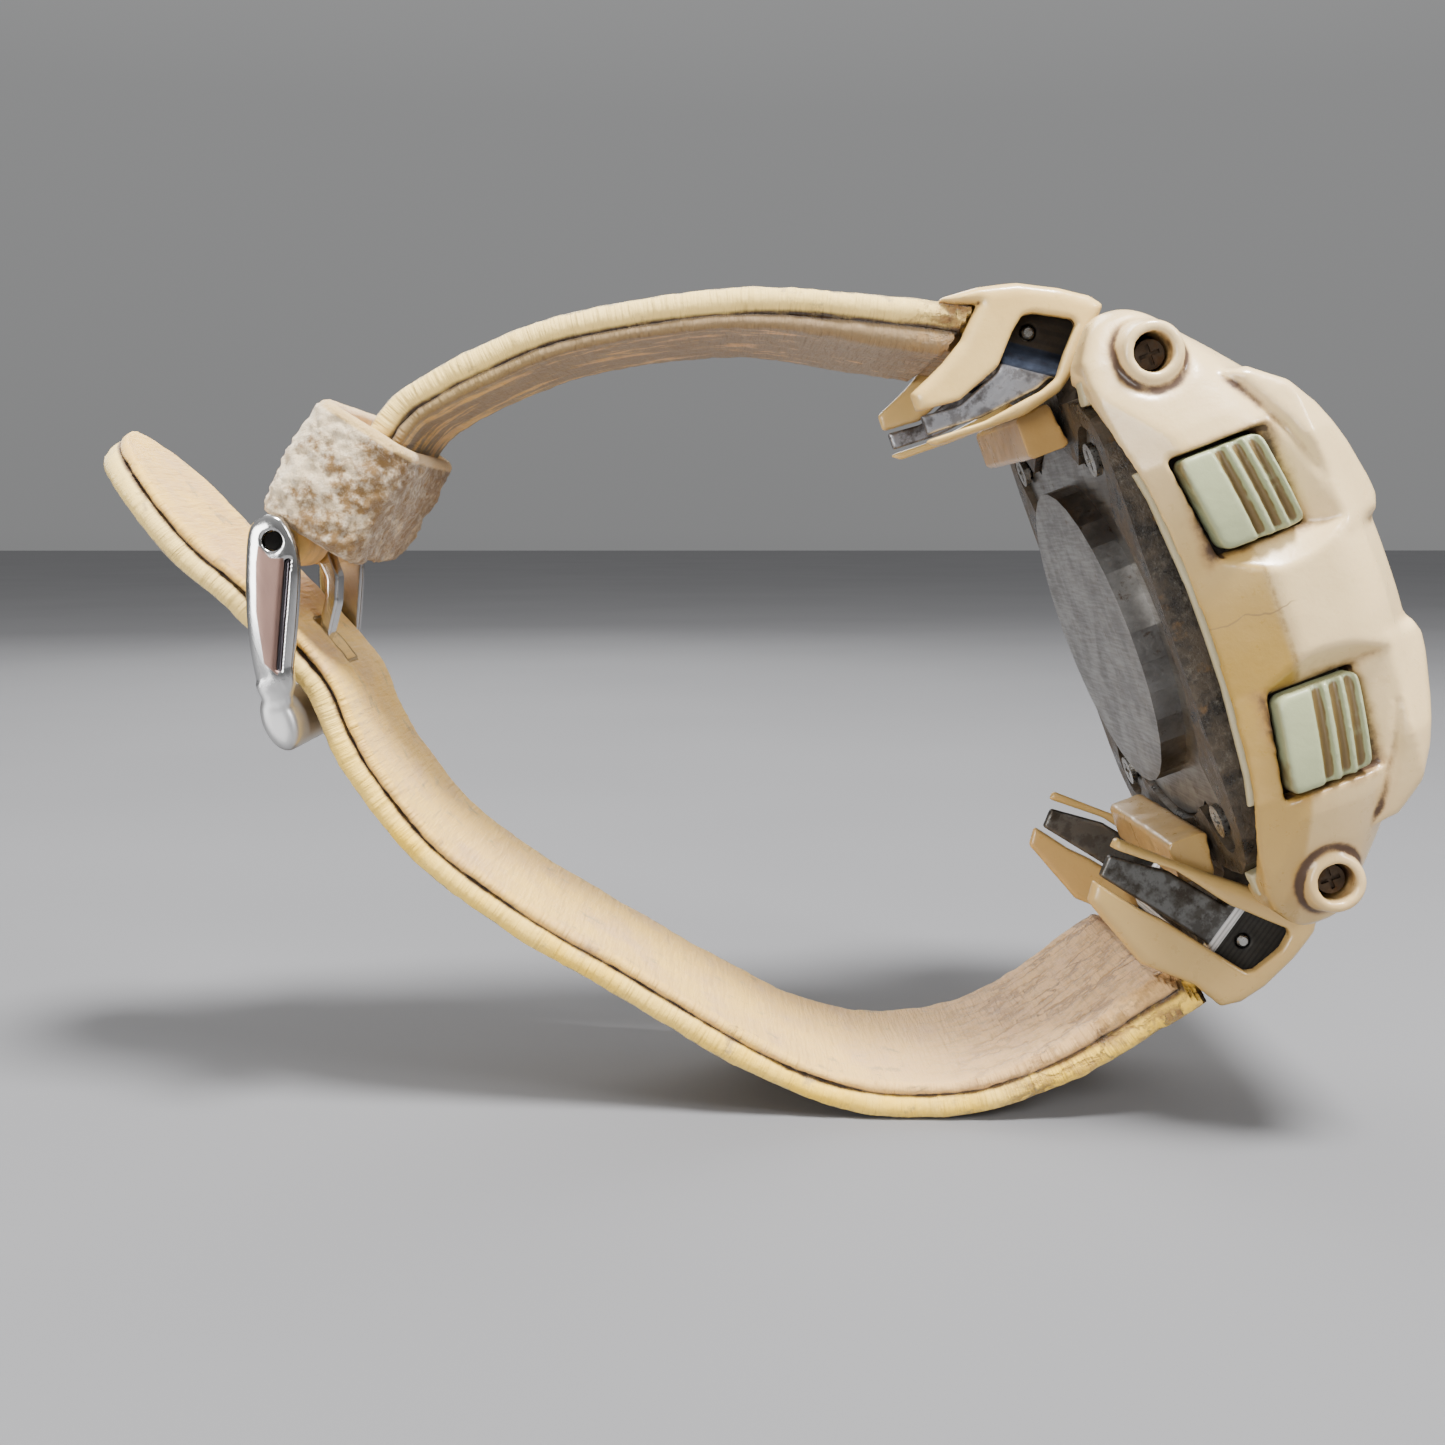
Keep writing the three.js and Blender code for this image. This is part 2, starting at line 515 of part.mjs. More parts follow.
function strapBand(line, samples) {
  const plan = [-80, -50, -10, -6.8].map((x) => [x, strapHalfY(x)]);
  plan.push([-6.8, STRAP.tenonHalfY], [0, STRAP.tenonHalfY]);
  const wide = [...plan, ...plan.map(([x, y]) => [x, -y]).toReversed()];
  const skinRoom = [[-6, 31], [-1, 28.6], [0, 36], [-6, 36]];
  return cut(
    prism("Y", band(line, samples), -14, 14).intersect(prism("Z", wide, -50, 60)),
    prism("Y", skinRoom, -14, 14),
    prism("Y", mirrorZ(skinRoom), -14, 14),
  );
}

const tongueSlot = (x0, x1, z0, z1) => box(x0, x1, -1.7, 1.7, z0, z1);

function upperStrap() {
  const loop = rod("Y", BAR.x, BAR.z, 2.1, -STRAP.tipHalfY, STRAP.tipHalfY, 20);
  const bore = rod("Y", BAR.x, BAR.z, BAR.r + GAP, -20, 20, SMALL_ROUND);
  const body = join(strapBand(UPPER_LINE, 22), loop);
  return cut(body, bore, tongueSlot(-66, -58.2, 29, 37));
}
add("upper_strap", upperStrap(), "leather");

function lowerStrap() {
  const hole = prism("Y", [[-66, 26.3], [-61, 26.3], [-61, 22], [-66, 22]], -1.7, 1.7);
  return cut(strapBand(LOWER_LINE, 34), hole);
}
add("lower_strap", lowerStrap(), "leather");

function strapTail() {
  const [x, z] = TAIL_LINE[0];
  const round = rod("Y", x, z, STRAP.midThick / 2, -STRAP.tipHalfY, STRAP.tipHalfY, 16);
  const plan = [[z, STRAP.tipHalfY], [40, 9.4], [43.6, 7.6], [45.6, 4.6], [46.8, 0]];
  const tip = [...plan, ...plan.map(([up, y]) => [up, -y]).toReversed()].map(([up, y]) => [y, up]);
  const flat = prism("Y", band(TAIL_LINE, 8), -14, 14).intersect(prism("X", tip, -80, -50));
  return join(flat, round);
}
add("strap_tail", strapTail(), "leather");

// ---------------------------------------------------------------- keeper
function keeper() {
  const half = KEEPER.length / 2;
  const sleeve = (inset) => {
    const y = KEEPER.halfY - inset;
    const low = KEEPER.inner + inset;
    const high = KEEPER.outer - inset;
    return rounded([[-y, low], [-y, high], [y, high], [y, low]], 2.4 - inset, 3);
  };
  const geometry = extruded(sleeve(0), -half, half, sleeve(KEEPER.thick));
  // local x is the part's Y, local y points away from the wrist and local z runs along the strap to the lug
  const outward = new THREE.Vector3(-0.6, 0, 0.8);
  const toLug = new THREE.Vector3(0.8, 0, 0.6);
  geometry.applyMatrix4(new THREE.Matrix4().makeBasis(unit(1), outward, toLug));
  geometry.translate(KEEPER.x, 0, KEEPER.z);
  return solid(geometry);
}
add("strap_keeper", keeper(), "suede");

// ---------------------------------------------------------------- buckle
const ARM_SIDE = [
  [-61.3, 34.9], [-62.8, 34.1], [-64.5, 30.6], [-66.2, 26.5], [-67.4, 22.4], [-68, 20], [-68, 18.4],
  [-67, 16.6], [-65.9, 16.6], [-64.9, 18.2], [-64.9, 20.6], [-64, 22], [-61.9, 26.6], [-60, 30.2],
  [-59.9, 32.6],
];
const FRONT_BAR = { x: -66.5, z: 19.2, halfX: 1.5, halfZ: 2.5 };

function buckleFrame() {
  const outline = circle(0, 0, 1, 16).map(([a, b]) => [
    FRONT_BAR.x + a * FRONT_BAR.halfX,
    FRONT_BAR.z + b * FRONT_BAR.halfZ,
  ]);
  const bar = prism("Y", outline, -ARM.innerY - 0.2, ARM.innerY + 0.2);
  const arms = [-1, 1].map((side) =>
    prism("Y", rounded(ARM_SIDE, 0.8, 2), ...outwards(side, ARM.innerY, ARM.outerY)),
  );
  return cut(join(bar, ...arms), rod("Y", BAR.x, BAR.z, BAR.r + GAP, -20, 20, SMALL_ROUND));
}
add("buckle_frame", buckleFrame(), "steel");
add("buckle_spring_bar", rod("Y", BAR.x, BAR.z, BAR.r, -BAR.halfY, BAR.halfY, SMALL_ROUND), "steel");

// The tongue bulges towards the wrist, passes out through the strap's hole and rests on the front bar.
function tongue() {
  const outer = [[-59.9, 31.4], [-60, 29], [-61, 26.8], [-62.6, 24.6], [-64.6, 22.9], [-66.4, 22.3]];
  const inner = [[-67, 23.3], [-65, 23.9], [-63.4, 25.4], [-61.9, 27.6], [-61.2, 29.2], [-61.3, 31]];
  const blade = prism("Y", [...outer, ...inner], -1.2, 1.2);
  const eye = rod("Y", BAR.x, BAR.z, 1.9, -1.2, 1.2, 16);
  return cut(join(blade, eye), rod("Y", BAR.x, BAR.z, BAR.r + GAP, -2, 2, SMALL_ROUND));
}
add("buckle_tongue", tongue(), "steel");

export default diveComputer;
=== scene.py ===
"""A wrist dive computer, buckled, with a cream resin bezel and a worn leather strap.

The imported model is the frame. Every visible piece is built round it here, in its row frame:
+X out of the display, +Y towards three o'clock, +Z towards twelve o'clock.
Lengths in this script are millimetres; new_object() turns them into metres.
"""
import math

import bmesh
import bpy
import numpy as np
from mathutils import Matrix, Vector
from mathutils.bvhtree import BVHTree

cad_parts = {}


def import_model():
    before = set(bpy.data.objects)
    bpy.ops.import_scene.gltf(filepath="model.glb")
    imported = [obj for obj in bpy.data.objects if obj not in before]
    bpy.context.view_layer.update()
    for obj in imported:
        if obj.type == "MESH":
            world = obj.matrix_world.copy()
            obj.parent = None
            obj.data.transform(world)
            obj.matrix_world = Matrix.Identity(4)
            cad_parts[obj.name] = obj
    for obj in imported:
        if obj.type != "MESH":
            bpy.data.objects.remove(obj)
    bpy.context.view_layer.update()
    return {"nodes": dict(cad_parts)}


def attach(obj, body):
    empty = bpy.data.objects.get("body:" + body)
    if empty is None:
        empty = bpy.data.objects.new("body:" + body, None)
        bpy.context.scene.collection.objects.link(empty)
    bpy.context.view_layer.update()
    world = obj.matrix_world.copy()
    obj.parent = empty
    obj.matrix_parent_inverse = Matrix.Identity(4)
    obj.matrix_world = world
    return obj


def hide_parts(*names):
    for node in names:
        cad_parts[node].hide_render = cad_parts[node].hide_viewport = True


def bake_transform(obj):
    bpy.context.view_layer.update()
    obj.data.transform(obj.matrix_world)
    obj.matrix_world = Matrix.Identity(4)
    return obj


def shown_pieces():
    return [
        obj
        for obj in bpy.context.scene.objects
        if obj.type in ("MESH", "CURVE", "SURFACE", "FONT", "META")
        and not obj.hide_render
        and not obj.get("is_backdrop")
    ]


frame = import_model()
nodes = frame["nodes"]
scene = bpy.context.scene
MM = 0.001

# ------------------------------------------------------------------ driving dimensions
# the bosses, buttons and link pins are mirrored, so z is the upper one's
BOSS = {"x": 7.05, "z": 21.6, "r": 2.3, "hole": 1.5, "face": 20.7}
BUTTON = {"x": 9.25, "z": 9.65, "size_x": 6.5, "size_z": 7.5, "slant": -0.16, "back": 20.3, "face": 22.9}
PIN = {"x": 0.8, "z": 26.6}
POCKET_FLOOR = 20.9  # how far out the buttons' pockets start
STRIP_HALF_Z = 13.6
COVER_HALF_Y = 13
COVER_WALL = 1.4
BAR = {"x": -61.3, "z": 32.8}
FRONT_BAR = {"x": -66.5, "z": 19.2}
KEEPER = {
    "x": -55.3, "z": 35.7, "length": 10.4, "inner": -4.6, "outer": 4.4,
    "half_y": 11.4, "wall": 1.1, "corner": 2.6,
}
LEATHER_SHARE, LEATHER_MOST = 0.68, 2.1  # the outer leather's share of the strap's thickness, and its limit
TIP_LENGTH = 12  # the rounded end of the tail
ARM_HALF_Y, ARM_INSIDE_Y, ARM_LINE_Y = 13.05, 11.8, 12.6  # the buckle's arms: outer, inner and cut faces
TENON_HALF, TENON_SHARE = 9.9, 0.7  # the strap's half width in a cover, and its share of the thickness
DIGIT_BACK, DIGIT_FACE = 11.53, 11.6
PLACES = {"nine_upper": (-1, 1), "nine_lower": (-1, -1), "three_upper": (1, 1), "three_lower": (1, -1)}
# the straps' centre lines, (x, z), from the lug to the buckle and to the tail's tip
UPPER_LINE = [
    (-1.8, 27.2), (-8.6, 31), (-19.8, 36.6), (-33.2, 39.8), (-41.2, 39.9), (-45.3, 39.5), (-48.6, 38.7),
    (-54.7, 34.9), (-60.0, 34.3),
]
LOWER_LINE = [
    (-3.9, -28.2), (-8.3, -29.2), (-17.6, -31.3), (-27.1, -30.7), (-37.6, -25), (-49.7, -10.4), (-55.4, -3),
    (-60, 4.6), (-62.3, 12), (-62.9, 16.5), (-63, 20.3), (-64.1, 24), (-65.9, 28.6), (-67.3, 31.6),
    (-69.1, 35), (-71.6, 42), (-73.3, 46.3),
]


# ------------------------------------------------------------------ meshes
def placed(name, data):
    obj = bpy.data.objects.new(name, data)
    bpy.context.collection.objects.link(obj)
    return obj


def new_object(name, points, faces):
    mesh = bpy.data.meshes.new(name)
    mesh.from_pydata([Vector(p) * MM for p in points], [], faces)
    mesh.validate()
    return placed(name, mesh)


def outward(obj):
    """Turns every face of a closed mesh to look out."""
    work = bmesh.new()
    work.from_mesh(obj.data)
    bmesh.ops.recalc_face_normals(work, faces=work.faces)
    work.to_mesh(obj.data)
    work.free()
    return obj


def ring_faces(rows):
    """Quads between neighbouring rings of points."""
    count = len(rows[0])
    return [
        (low[k], low[(k + 1) % count], high[(k + 1) % count], high[k])
        for low, high in zip(rows, rows[1:])
        for k in range(count)
    ]


def prism(outline, half_y):
    """A prism along Y. The outline is (x, z)."""
    count = len(outline)
    points = [(x, y, z) for y in (-half_y, half_y) for x, z in outline]
    rows = [list(range(count)), list(range(count, 2 * count))]
    return outward(new_object("tool", points, ring_faces(rows) + [tuple(row) for row in rows]))


def lathe(x, z, profile, sides):
    """Turns a profile of (y, radius) round a line along Y. It is a ring if no end has radius 0."""
    points, faces, rows = [], [], []
    for y, radius in profile:
        count = sides if radius else 1
        rows.append(list(range(len(points), len(points) + count)))
        for turn in (2 * math.pi * i / sides for i in range(count)):
            points.append((x + radius * math.cos(turn), y, z + radius * math.sin(turn)))
    ring = profile[0][1] > 0 and profile[-1][1] > 0
    for low, high in zip(rows, rows[1:] + (rows[:1] if ring else [])):
        for i in range(sides):
            j = (i + 1) % sides
            corners = [low[i % len(low)], low[j % len(low)], high[j % len(high)], high[i % len(high)]]
            faces.append(tuple(dict.fromkeys(corners)))
    return outward(new_object("lathe", points, faces))


def resampled(outline, count):
    """Points evenly spaced round a closed outline."""
    points = np.array(outline + outline[:1])
    steps = np.r_[0, np.cumsum(np.linalg.norm(np.diff(points, axis=0), axis=1))]
    even = np.linspace(0, steps[-1], count, endpoint=False)
    return list(zip(np.interp(even, steps, points[:, 0]), np.interp(even, steps, points[:, 1])))


def spline(points, samples):
    """Points evenly spaced along a smooth curve through the given ones."""
    fine = []
    ends = [np.array(points[0]) * 2 - np.array(points[1]), np.array(points[-1]) * 2 - np.array(points[-2])]
    pts = [ends[0], *map(np.array, points), ends[1]]
    for p0, p1, p2, p3 in zip(pts, pts[1:], pts[2:], pts[3:]):
        for t in np.linspace(0, 1, 24, endpoint=False):
            fine.append(
                0.5 * (2 * p1 + (p2 - p0) * t + (2 * p0 - 5 * p1 + 4 * p2 - p3) * t**2
                       + (3 * p1 - p0 - 3 * p2 + p3) * t**3)
            )
    fine.append(pts[-2])
    fine = np.array(fine)
    steps = np.r_[0, np.cumsum(np.linalg.norm(np.diff(fine, axis=0), axis=1))]
    even = np.linspace(0, steps[-1], samples)
    return np.c_[[np.interp(even, steps, fine[:, k]) for k in range(fine.shape[1])]].T, steps[-1]


def mirrored(outline):
    """The outline with its mirror image in the second coordinate, as one closed outline."""
    return list(outline) + [(a, -b) for a, b in reversed(outline)]


class Clay:
    """A grid of points. A shape on it is an array of signed distances, negative inside."""

    def __init__(self, low, high, cell):
        self.cell = cell
        self.low = np.array(low, float) - 2 * cell
        counts = np.ceil((np.array(high) - np.array(low)) / cell).astype(int) + 5
        axes = [self.low[k] + cell * np.arange(counts[k]) for k in range(3)]
        self.x, self.y, self.z = np.meshgrid(*axes, indexing="ij", sparse=True)

    def split(self, axis):
        """The two coordinates across the X or Y axis and the one along it."""
        return (self.y, self.z, self.x) if axis == "X" else (self.x, self.z, self.y)

    def prism(self, axis, outline, low=-99, high=99):
        a, b, h = self.split(axis)
        return np.maximum(outline_distance(outline, a, b), np.abs(h - (low + high) / 2) - (high - low) / 2)

    def rod(self, axis, a0, b0, radius, low=-99, high=99):
        a, b, h = self.split(axis)
        return np.maximum(np.hypot(a - a0, b - b0) - radius, np.abs(h - (low + high) / 2) - (high - low) / 2)

    def turned(self, profile):
        """A closed profile of (x, radius) turned round the X axis."""
        return outline_distance(profile, self.x, np.hypot(self.y, self.z))

    def skin(self, field, name):
        """The zero surface of a field as a closed mesh of small quads."""
        field = field + np.zeros(np.broadcast_shapes(self.x.shape, self.y.shape, self.z.shape))
        inside = field < 0
        n = np.array(field.shape) - 1
        corners = [
            inside[i : n[0] + i, j : n[1] + j, k : n[2] + k] for i in (0, 1) for j in (0, 1) for k in (0, 1)
        ]
        full = sum(corner.astype(np.int8) for corner in corners)
        active = (full > 0) & (full < 8)
        index = np.full(active.shape, -1)
        index[active] = np.arange(active.sum())
        cells = np.argwhere(active)
        sums, counts = np.zeros(cells.shape), np.zeros(len(cells))
        unit = np.eye(3, dtype=int)
        faces = []
        for axis in range(3):
            u, v = unit[(axis + 1) % 3], unit[(axis + 2) % 3]
            for i, j in ((0, 0), (1, 0), (0, 1), (1, 1)):
                start = cells + u * i + v * j
                f0, f1 = field[tuple(start.T)], field[tuple((start + unit[axis]).T)]
                crossed = (f0 < 0) != (f1 < 0)
                share = np.where(crossed, f0 / np.where(crossed, f0 - f1, 1), 0)
                sums[crossed] += (start + share[:, None] * unit[axis])[crossed]
                counts += crossed
            inner = [slice(1, -1)] * 3
            inner[axis] = slice(0, -1)
            beyond = list(inner)
            beyond[axis] = slice(1, None)
            below, above = inside[tuple(inner)], inside[tuple(beyond)]
            crossed = np.argwhere(below != above)
            rising = below[tuple(crossed.T)]
            at = crossed + u + v
            quad = np.stack([index[tuple((at - step).T)] for step in (u + v, v, 0 * u, u)], 1)
            faces.append(np.where(rising[:, None], quad, quad[:, ::-1]))
        points = self.low + self.cell * sums / counts[:, None]
        obj = new_object(name, points.tolist(), np.concatenate(faces).tolist())
        set_coordinates(obj.data, smoothed(obj.data, coordinates(obj.data), 2))
        return obj


def outline_distance(outline, a, b):
    """Signed distance to a closed outline, negative inside."""
    a, b = np.broadcast_arrays(a, b)
    nearest, inside = np.full(a.shape, 1e9), np.zeros(a.shape, bool)
    for (a0, b0), (a1, b1) in zip(outline, [*outline[1:], outline[0]]):
        da, db = a1 - a0, b1 - b0
        share = np.clip(((a - a0) * da + (b - b0) * db) / max(da * da + db * db, 1e-12), 0, 1)
        nearest = np.minimum(nearest, (a - a0 - da * share) ** 2 + (b - b0 - db * share) ** 2)
        if db:
            inside ^= ((b0 > b) != (b1 > b)) & (a < (b - b0) * da / db + a0)
    return np.where(inside, -1, 1) * np.sqrt(nearest)


def joined(first, second, blend=0.0):
    """Both shapes, with a fillet of that size where they meet."""
    near = np.maximum(blend - np.abs(first - second), 0)
    return np.minimum(first, second) - near**2 / (4 * max(blend, 1e-9))


def shared(first, second, blend=0.0):
    """What both shapes hold, with its new edges rounded."""
    return -joined(-first, -second, blend)


def carved(first, tool, blend=0.0):
    """The first shape without the tool, with its new edges rounded."""
    return shared(first, -tool, blend)


def baked(obj):
    """Makes the object's modifiers part of its mesh."""
    graph = bpy.context.evaluated_depsgraph_get()
    mesh = bpy.data.meshes.new_from_object(obj.evaluated_get(graph))
    obj.modifiers.clear()
    obj.data = mesh
    return obj


def cut(obj, tool):
    """Cuts the tool from the object and deletes it."""
    step = obj.modifiers.new("cut", "BOOLEAN")
    step.operation = "DIFFERENCE"
    step.solver = "EXACT"
    step.object = tool
    baked(obj)
    bpy.data.objects.remove(tool)


def moulded(node, voxel, rounds):
    """A copy of a CAD node with an even, fine surface and softly rounded edges."""
    obj = placed(node, nodes[node].data.copy())
    obj.data.transform(nodes[node].matrix_world)
    obj.data.materials.clear()
    cells = obj.modifiers.new("cells", "REMESH")
    cells.mode = "VOXEL"
    cells.voxel_size = voxel * MM
    soft = obj.modifiers.new("soft", "SMOOTH")
    soft.factor = 0.5
    soft.iterations = rounds
    return baked(obj)


# ------------------------------------------------------------------ measures on a mesh
def coordinates(mesh, kind="vertices", field="co"):
    items = getattr(mesh, kind)
    values = np.empty(len(items) * 3, np.float32)
    items.foreach_get(field, values)
    return values.reshape(-1, 3).astype(float)


def set_coordinates(mesh, values):
    mesh.vertices.foreach_set("co", values.astype(np.float32).ravel())
    mesh.update()


def store(mesh, name, values):
    layer = mesh.attributes.get(name) or mesh.attributes.new(name, "FLOAT", "POINT")
    layer.data.foreach_set("value", np.asarray(values, np.float32))


def smoothed(mesh, values, rounds):
    """Each vertex's value averaged with its neighbours', round after round."""
    edges = np.empty(len(mesh.edges) * 2, np.int32)
    mesh.edges.foreach_get("vertices", edges)
    a, b = edges.reshape(-1, 2).T
    count = len(mesh.vertices)
    degree = np.maximum(np.bincount(edges, minlength=count), 1)[:, None]
    for _ in range(rounds):
        sums = [np.bincount(a, of[b], count) + np.bincount(b, of[a], count) for of in values.T]
        total = np.stack(sums, 1)
        values = 0.5 * values + 0.5 * total / degree
    return values


def measure_hollows(obj, near=(), rounds=10, reach=1.2, depth=0.07):
    """Stores how hollow each point is, -1 to 1, and how near it lies to the CAD nodes in near, 0 to 1."""
    mesh = obj.data
    points = coordinates(mesh) / MM
    normals = coordinates(mesh, "vertex_normals", "vector")
    bend = ((smoothed(mesh, points, rounds) - points) * normals).sum(1)
    store(mesh, "hollow", np.clip(bend / depth, -1, 1))
    close = np.zeros(len(points))
    for other in near:
        there = nodes[other].data
        tree = BVHTree.FromPolygons([v.co for v in there.vertices], [p.vertices for p in there.polygons])
        for i, point in enumerate(points):
            hit = tree.find_nearest(Vector(point) * MM, reach * MM)
            if hit[3] is not None:
                close[i] = max(close[i], 1 - hit[3] / MM / reach)
    store(mesh, "close", close)


def lattice_noise(points, scale, seed):
    """Smooth noise from -1 to 1 at each point, the same on every run."""
    p = points / scale
    cell = np.floor(p).astype(np.int64)
    part = p - cell
    part = part * part * (3 - 2 * part)
    total = np.zeros(len(points))
    for corner in range(8):
        offset = np.array([corner & 1, corner >> 1 & 1, corner >> 2 & 1])
        c = cell + offset
        mixed = (c[:, 0] * 73856093) ^ (c[:, 1] * 19349663) ^ (c[:, 2] * 83492791) ^ (seed * 2654435761)
        mixed = (mixed ^ (mixed >> 13)) * 1274126177 & 0x7FFFFFFF
        weight = np.prod(np.where(offset == 1, part, 1 - part), 1)
        total += weight * (mixed / 0x3FFFFFFF - 1)
    return total


def roughened(obj, layers, mask=1.0):
    """Moves the surface along its normals by layers of noise, each (scale, height, seed)."""
    points = coordinates(obj.data) / MM
    normals = coordinates(obj.data, "vertex_normals", "vector")
    shift = sum(height * lattice_noise(points, scale, seed) for scale, height, seed in layers) * mask
    set_coordinates(obj.data, (points + normals * np.reshape(shift, (-1, 1))) * MM)


# ------------------------------------------------------------------ materials
class Wire:
    """A node's output. Sums, differences, products and quotients of wires are Math nodes."""

    def __init__(self, shader, socket):
        self.shader, self.socket = shader, socket

    def __add__(self, other):
        return self.shader.math("ADD", self, other)

    def __sub__(self, other):
        return self.shader.math("SUBTRACT", self, other)

    def __rsub__(self, other):
        return self.shader.math("SUBTRACT", other, self)

    def __mul__(self, other):
        return self.shader.math("MULTIPLY", self, other)

    def __truediv__(self, other):
        return self.shader.math("DIVIDE", self, other)

    def __abs__(self):
        return self.shader.math("ABSOLUTE", self)


class Shader:
    """A node material. Most methods add a node and return its output as a Wire."""

    def __init__(self, name, **constants):
        self.material = bpy.data.materials.new(name)
        self.material.use_nodes = True
        self.tree = self.material.node_tree
        self.surface = self.tree.nodes["Principled BSDF"]
        for key, value in constants.items():
            self.surface.inputs[key.replace("_", " ")].default_value = value
        self.place = self.node("TexCoord", output="Object")

    def node(self, kind, values=None, output=0, **settings):
        made = self.tree.nodes.new("ShaderNode" + kind)
        for key, value in settings.items():
            setattr(made, key, value)
        for key, value in (values or {}).items():
            self.feed(made.inputs[key], value)
        return Wire(self, made.outputs[output])

    def feed(self, socket, value):
        if isinstance(value, Wire):
            self.tree.links.new(value.socket, socket)
        else:
            socket.default_value = value

    def attribute(self, name):
        return self.node("Attribute", output="Fac", attribute_name=name)

    def math(self, operation, a, b=0.0):
        return self.node("Math", {0: a, 1: b}, operation=operation)

    def higher(self, a, b):
        return self.math("MAXIMUM", a, b)

    def between(self, value, low, high, start=0.0, end=1.0):
        """Maps low to start and high to end, smoothly, and no further."""
        values = {"Value": value, "From Min": low, "From Max": high, "To Min": start, "To Max": end}
        return self.node("MapRange", values, interpolation_type="SMOOTHSTEP")

    def scaled(self, size, stretch=(1, 1, 1), offset=0.0):
        """The place on the object in steps of that size in millimetres."""
        scale = [k / MM / size for k in stretch]
        return self.node("Mapping", {"Vector": self.place, "Scale": scale, "Location": [offset] * 3})

    def noise(self, size, detail=3.0, roughness=0.55, stretch=(1, 1, 1), offset=0.0):
        """Noise from about 0 to 1 with features of that size in millimetres."""
        values = {"Vector": self.scaled(size, stretch, offset), "Scale": 1.0}
        return self.node("TexNoise", {**values, "Detail": detail, "Roughness": roughness})

    def borders(self, place):
        """The distance to the borders between the cells of a Voronoi pattern."""
        return self.node("TexVoronoi", {"Vector": place, "Scale": 1.0}, feature="DISTANCE_TO_EDGE")

    def axes(self):
        return [self.node("SeparateXYZ", {0: self.place}, axis) for axis in range(3)]

    def mix(self, share, a, b):
        a, b = ((*tone, 1) if isinstance(tone, tuple) else tone for tone in (a, b))
        return self.node("Mix", {0: share, 6: a, 7: b}, 2, data_type="RGBA")

    def colour(self, tone):
        self.tone = tone
        self.feed(self.surface.inputs["Base Color"], tone)

    def paint(self, share, tone):
        """Lays another tone over the colour."""
        self.colour(self.mix(share, self.tone, tone))

    def gloss(self, value):
        self.feed(self.surface.inputs["Roughness"], value)

    def bump(self, height, distance):
        """A bump, over the ones before it, whose full height is that distance in millimetres."""
        normal = self.surface.inputs["Normal"]
        values = {"Height": height, "Distance": distance * MM, "Strength": 1.0}
        for link in normal.links:
            values["Normal"] = Wire(self, link.from_socket)
        self.feed(normal, self.node("Bump", values))


def cream_resin(name, ivory, second, yellow=1.0, crack=False):
    """Glossy resin, ivory at the front and yellowed at the back, with brown dirt in every crevice and painted
    shade towards the bottom end.
    """
    s = Shader(name, Coat_Weight=0.35, Coat_Roughness=0.12, Subsurface_Weight=0.06,
               Subsurface_Radius=(1, 0.7, 0.4), Subsurface_Scale=0.6 * MM)
    x, y, z = s.axes()
    cloudy = s.noise(7, 3, 0.5)
    back = s.between(x + cloudy * (6 * MM), 15 * MM, 4 * MM, 0, 0.75)
    low = s.between(z, 17 * MM, -4 * MM, 0.2, 1.0)
    s.colour(s.mix(cloudy, ivory, second))
    s.paint(s.higher(s.attribute("band"), back) * low * yellow, (0.42, 0.25, 0.04))
    # painted shade: a tan laid over the lower end, stronger towards the bottom
    s.paint(s.between(z, -4 * MM, -22 * MM, 0, 0.45), (0.50, 0.33, 0.15))
    specks = s.noise(0.9, 4, 0.7)
    s.paint(s.between(specks, 0.66, 0.8, 0, 0.25), (0.40, 0.25, 0.09))
    s.paint(s.attribute("line") * s.between(specks, 0.35, 0.6, 0.2, 0.8), (0.30, 0.18, 0.05))
    hollow = s.attribute("hollow") * s.between(x, 11 * MM, 14 * MM, 1, 0.35)
    grain = s.noise(1.6, 5, 0.65)
    stain = s.higher(hollow, 0.0) + s.attribute("close") * 0.8 + (grain - 0.5) * 0.9
    dirt = s.between(stain, 0.34, 0.85)
    s.paint(s.between(stain, 0.02, 0.6, 0, 0.6), (0.30, 0.15, 0.035))
    s.paint(dirt, (0.060, 0.026, 0.008))
    if crack:
        wander = (s.noise(2.5, 2) - 0.5) * (1.6 * MM)
        line = s.between(abs(z + wander - 0.6 * MM), 0.09 * MM, 0.02 * MM)
        line = line * s.between(x, 10.5 * MM, 9.5 * MM) * s.between(y, -20 * MM, -21 * MM)
        s.paint(line * 0.7, (0.25, 0.15, 0.06))
    s.gloss(s.between(grain, 0.3, 0.8, 0.26, 0.44) + dirt * 0.35)
    s.bump(s.noise(0.35, 3, 0.6), 0.012)
    s.bump(s.noise(2.2, 4, 0.6), 0.05)
    return s.material


def pale_resin(name, first, second):
    """Duller resin, brown in its hollows."""
    s = Shader(name, Coat_Weight=0.1)
    cloud = s.noise(3, 3)
    s.colour(s.mix(cloud, first, second))
    stain = s.higher(s.attribute("hollow"), 0.0) + s.attribute("close") * 0.5 + (s.noise(1.2, 4) - 0.5) * 0.8
    s.paint(s.between(stain, 0.12, 0.7, 0, 0.95), (0.13, 0.075, 0.02))
    s.gloss(s.between(cloud, 0.3, 0.7, 0.38, 0.52))
    s.bump(s.noise(0.3, 3), 0.015)
    return s.material


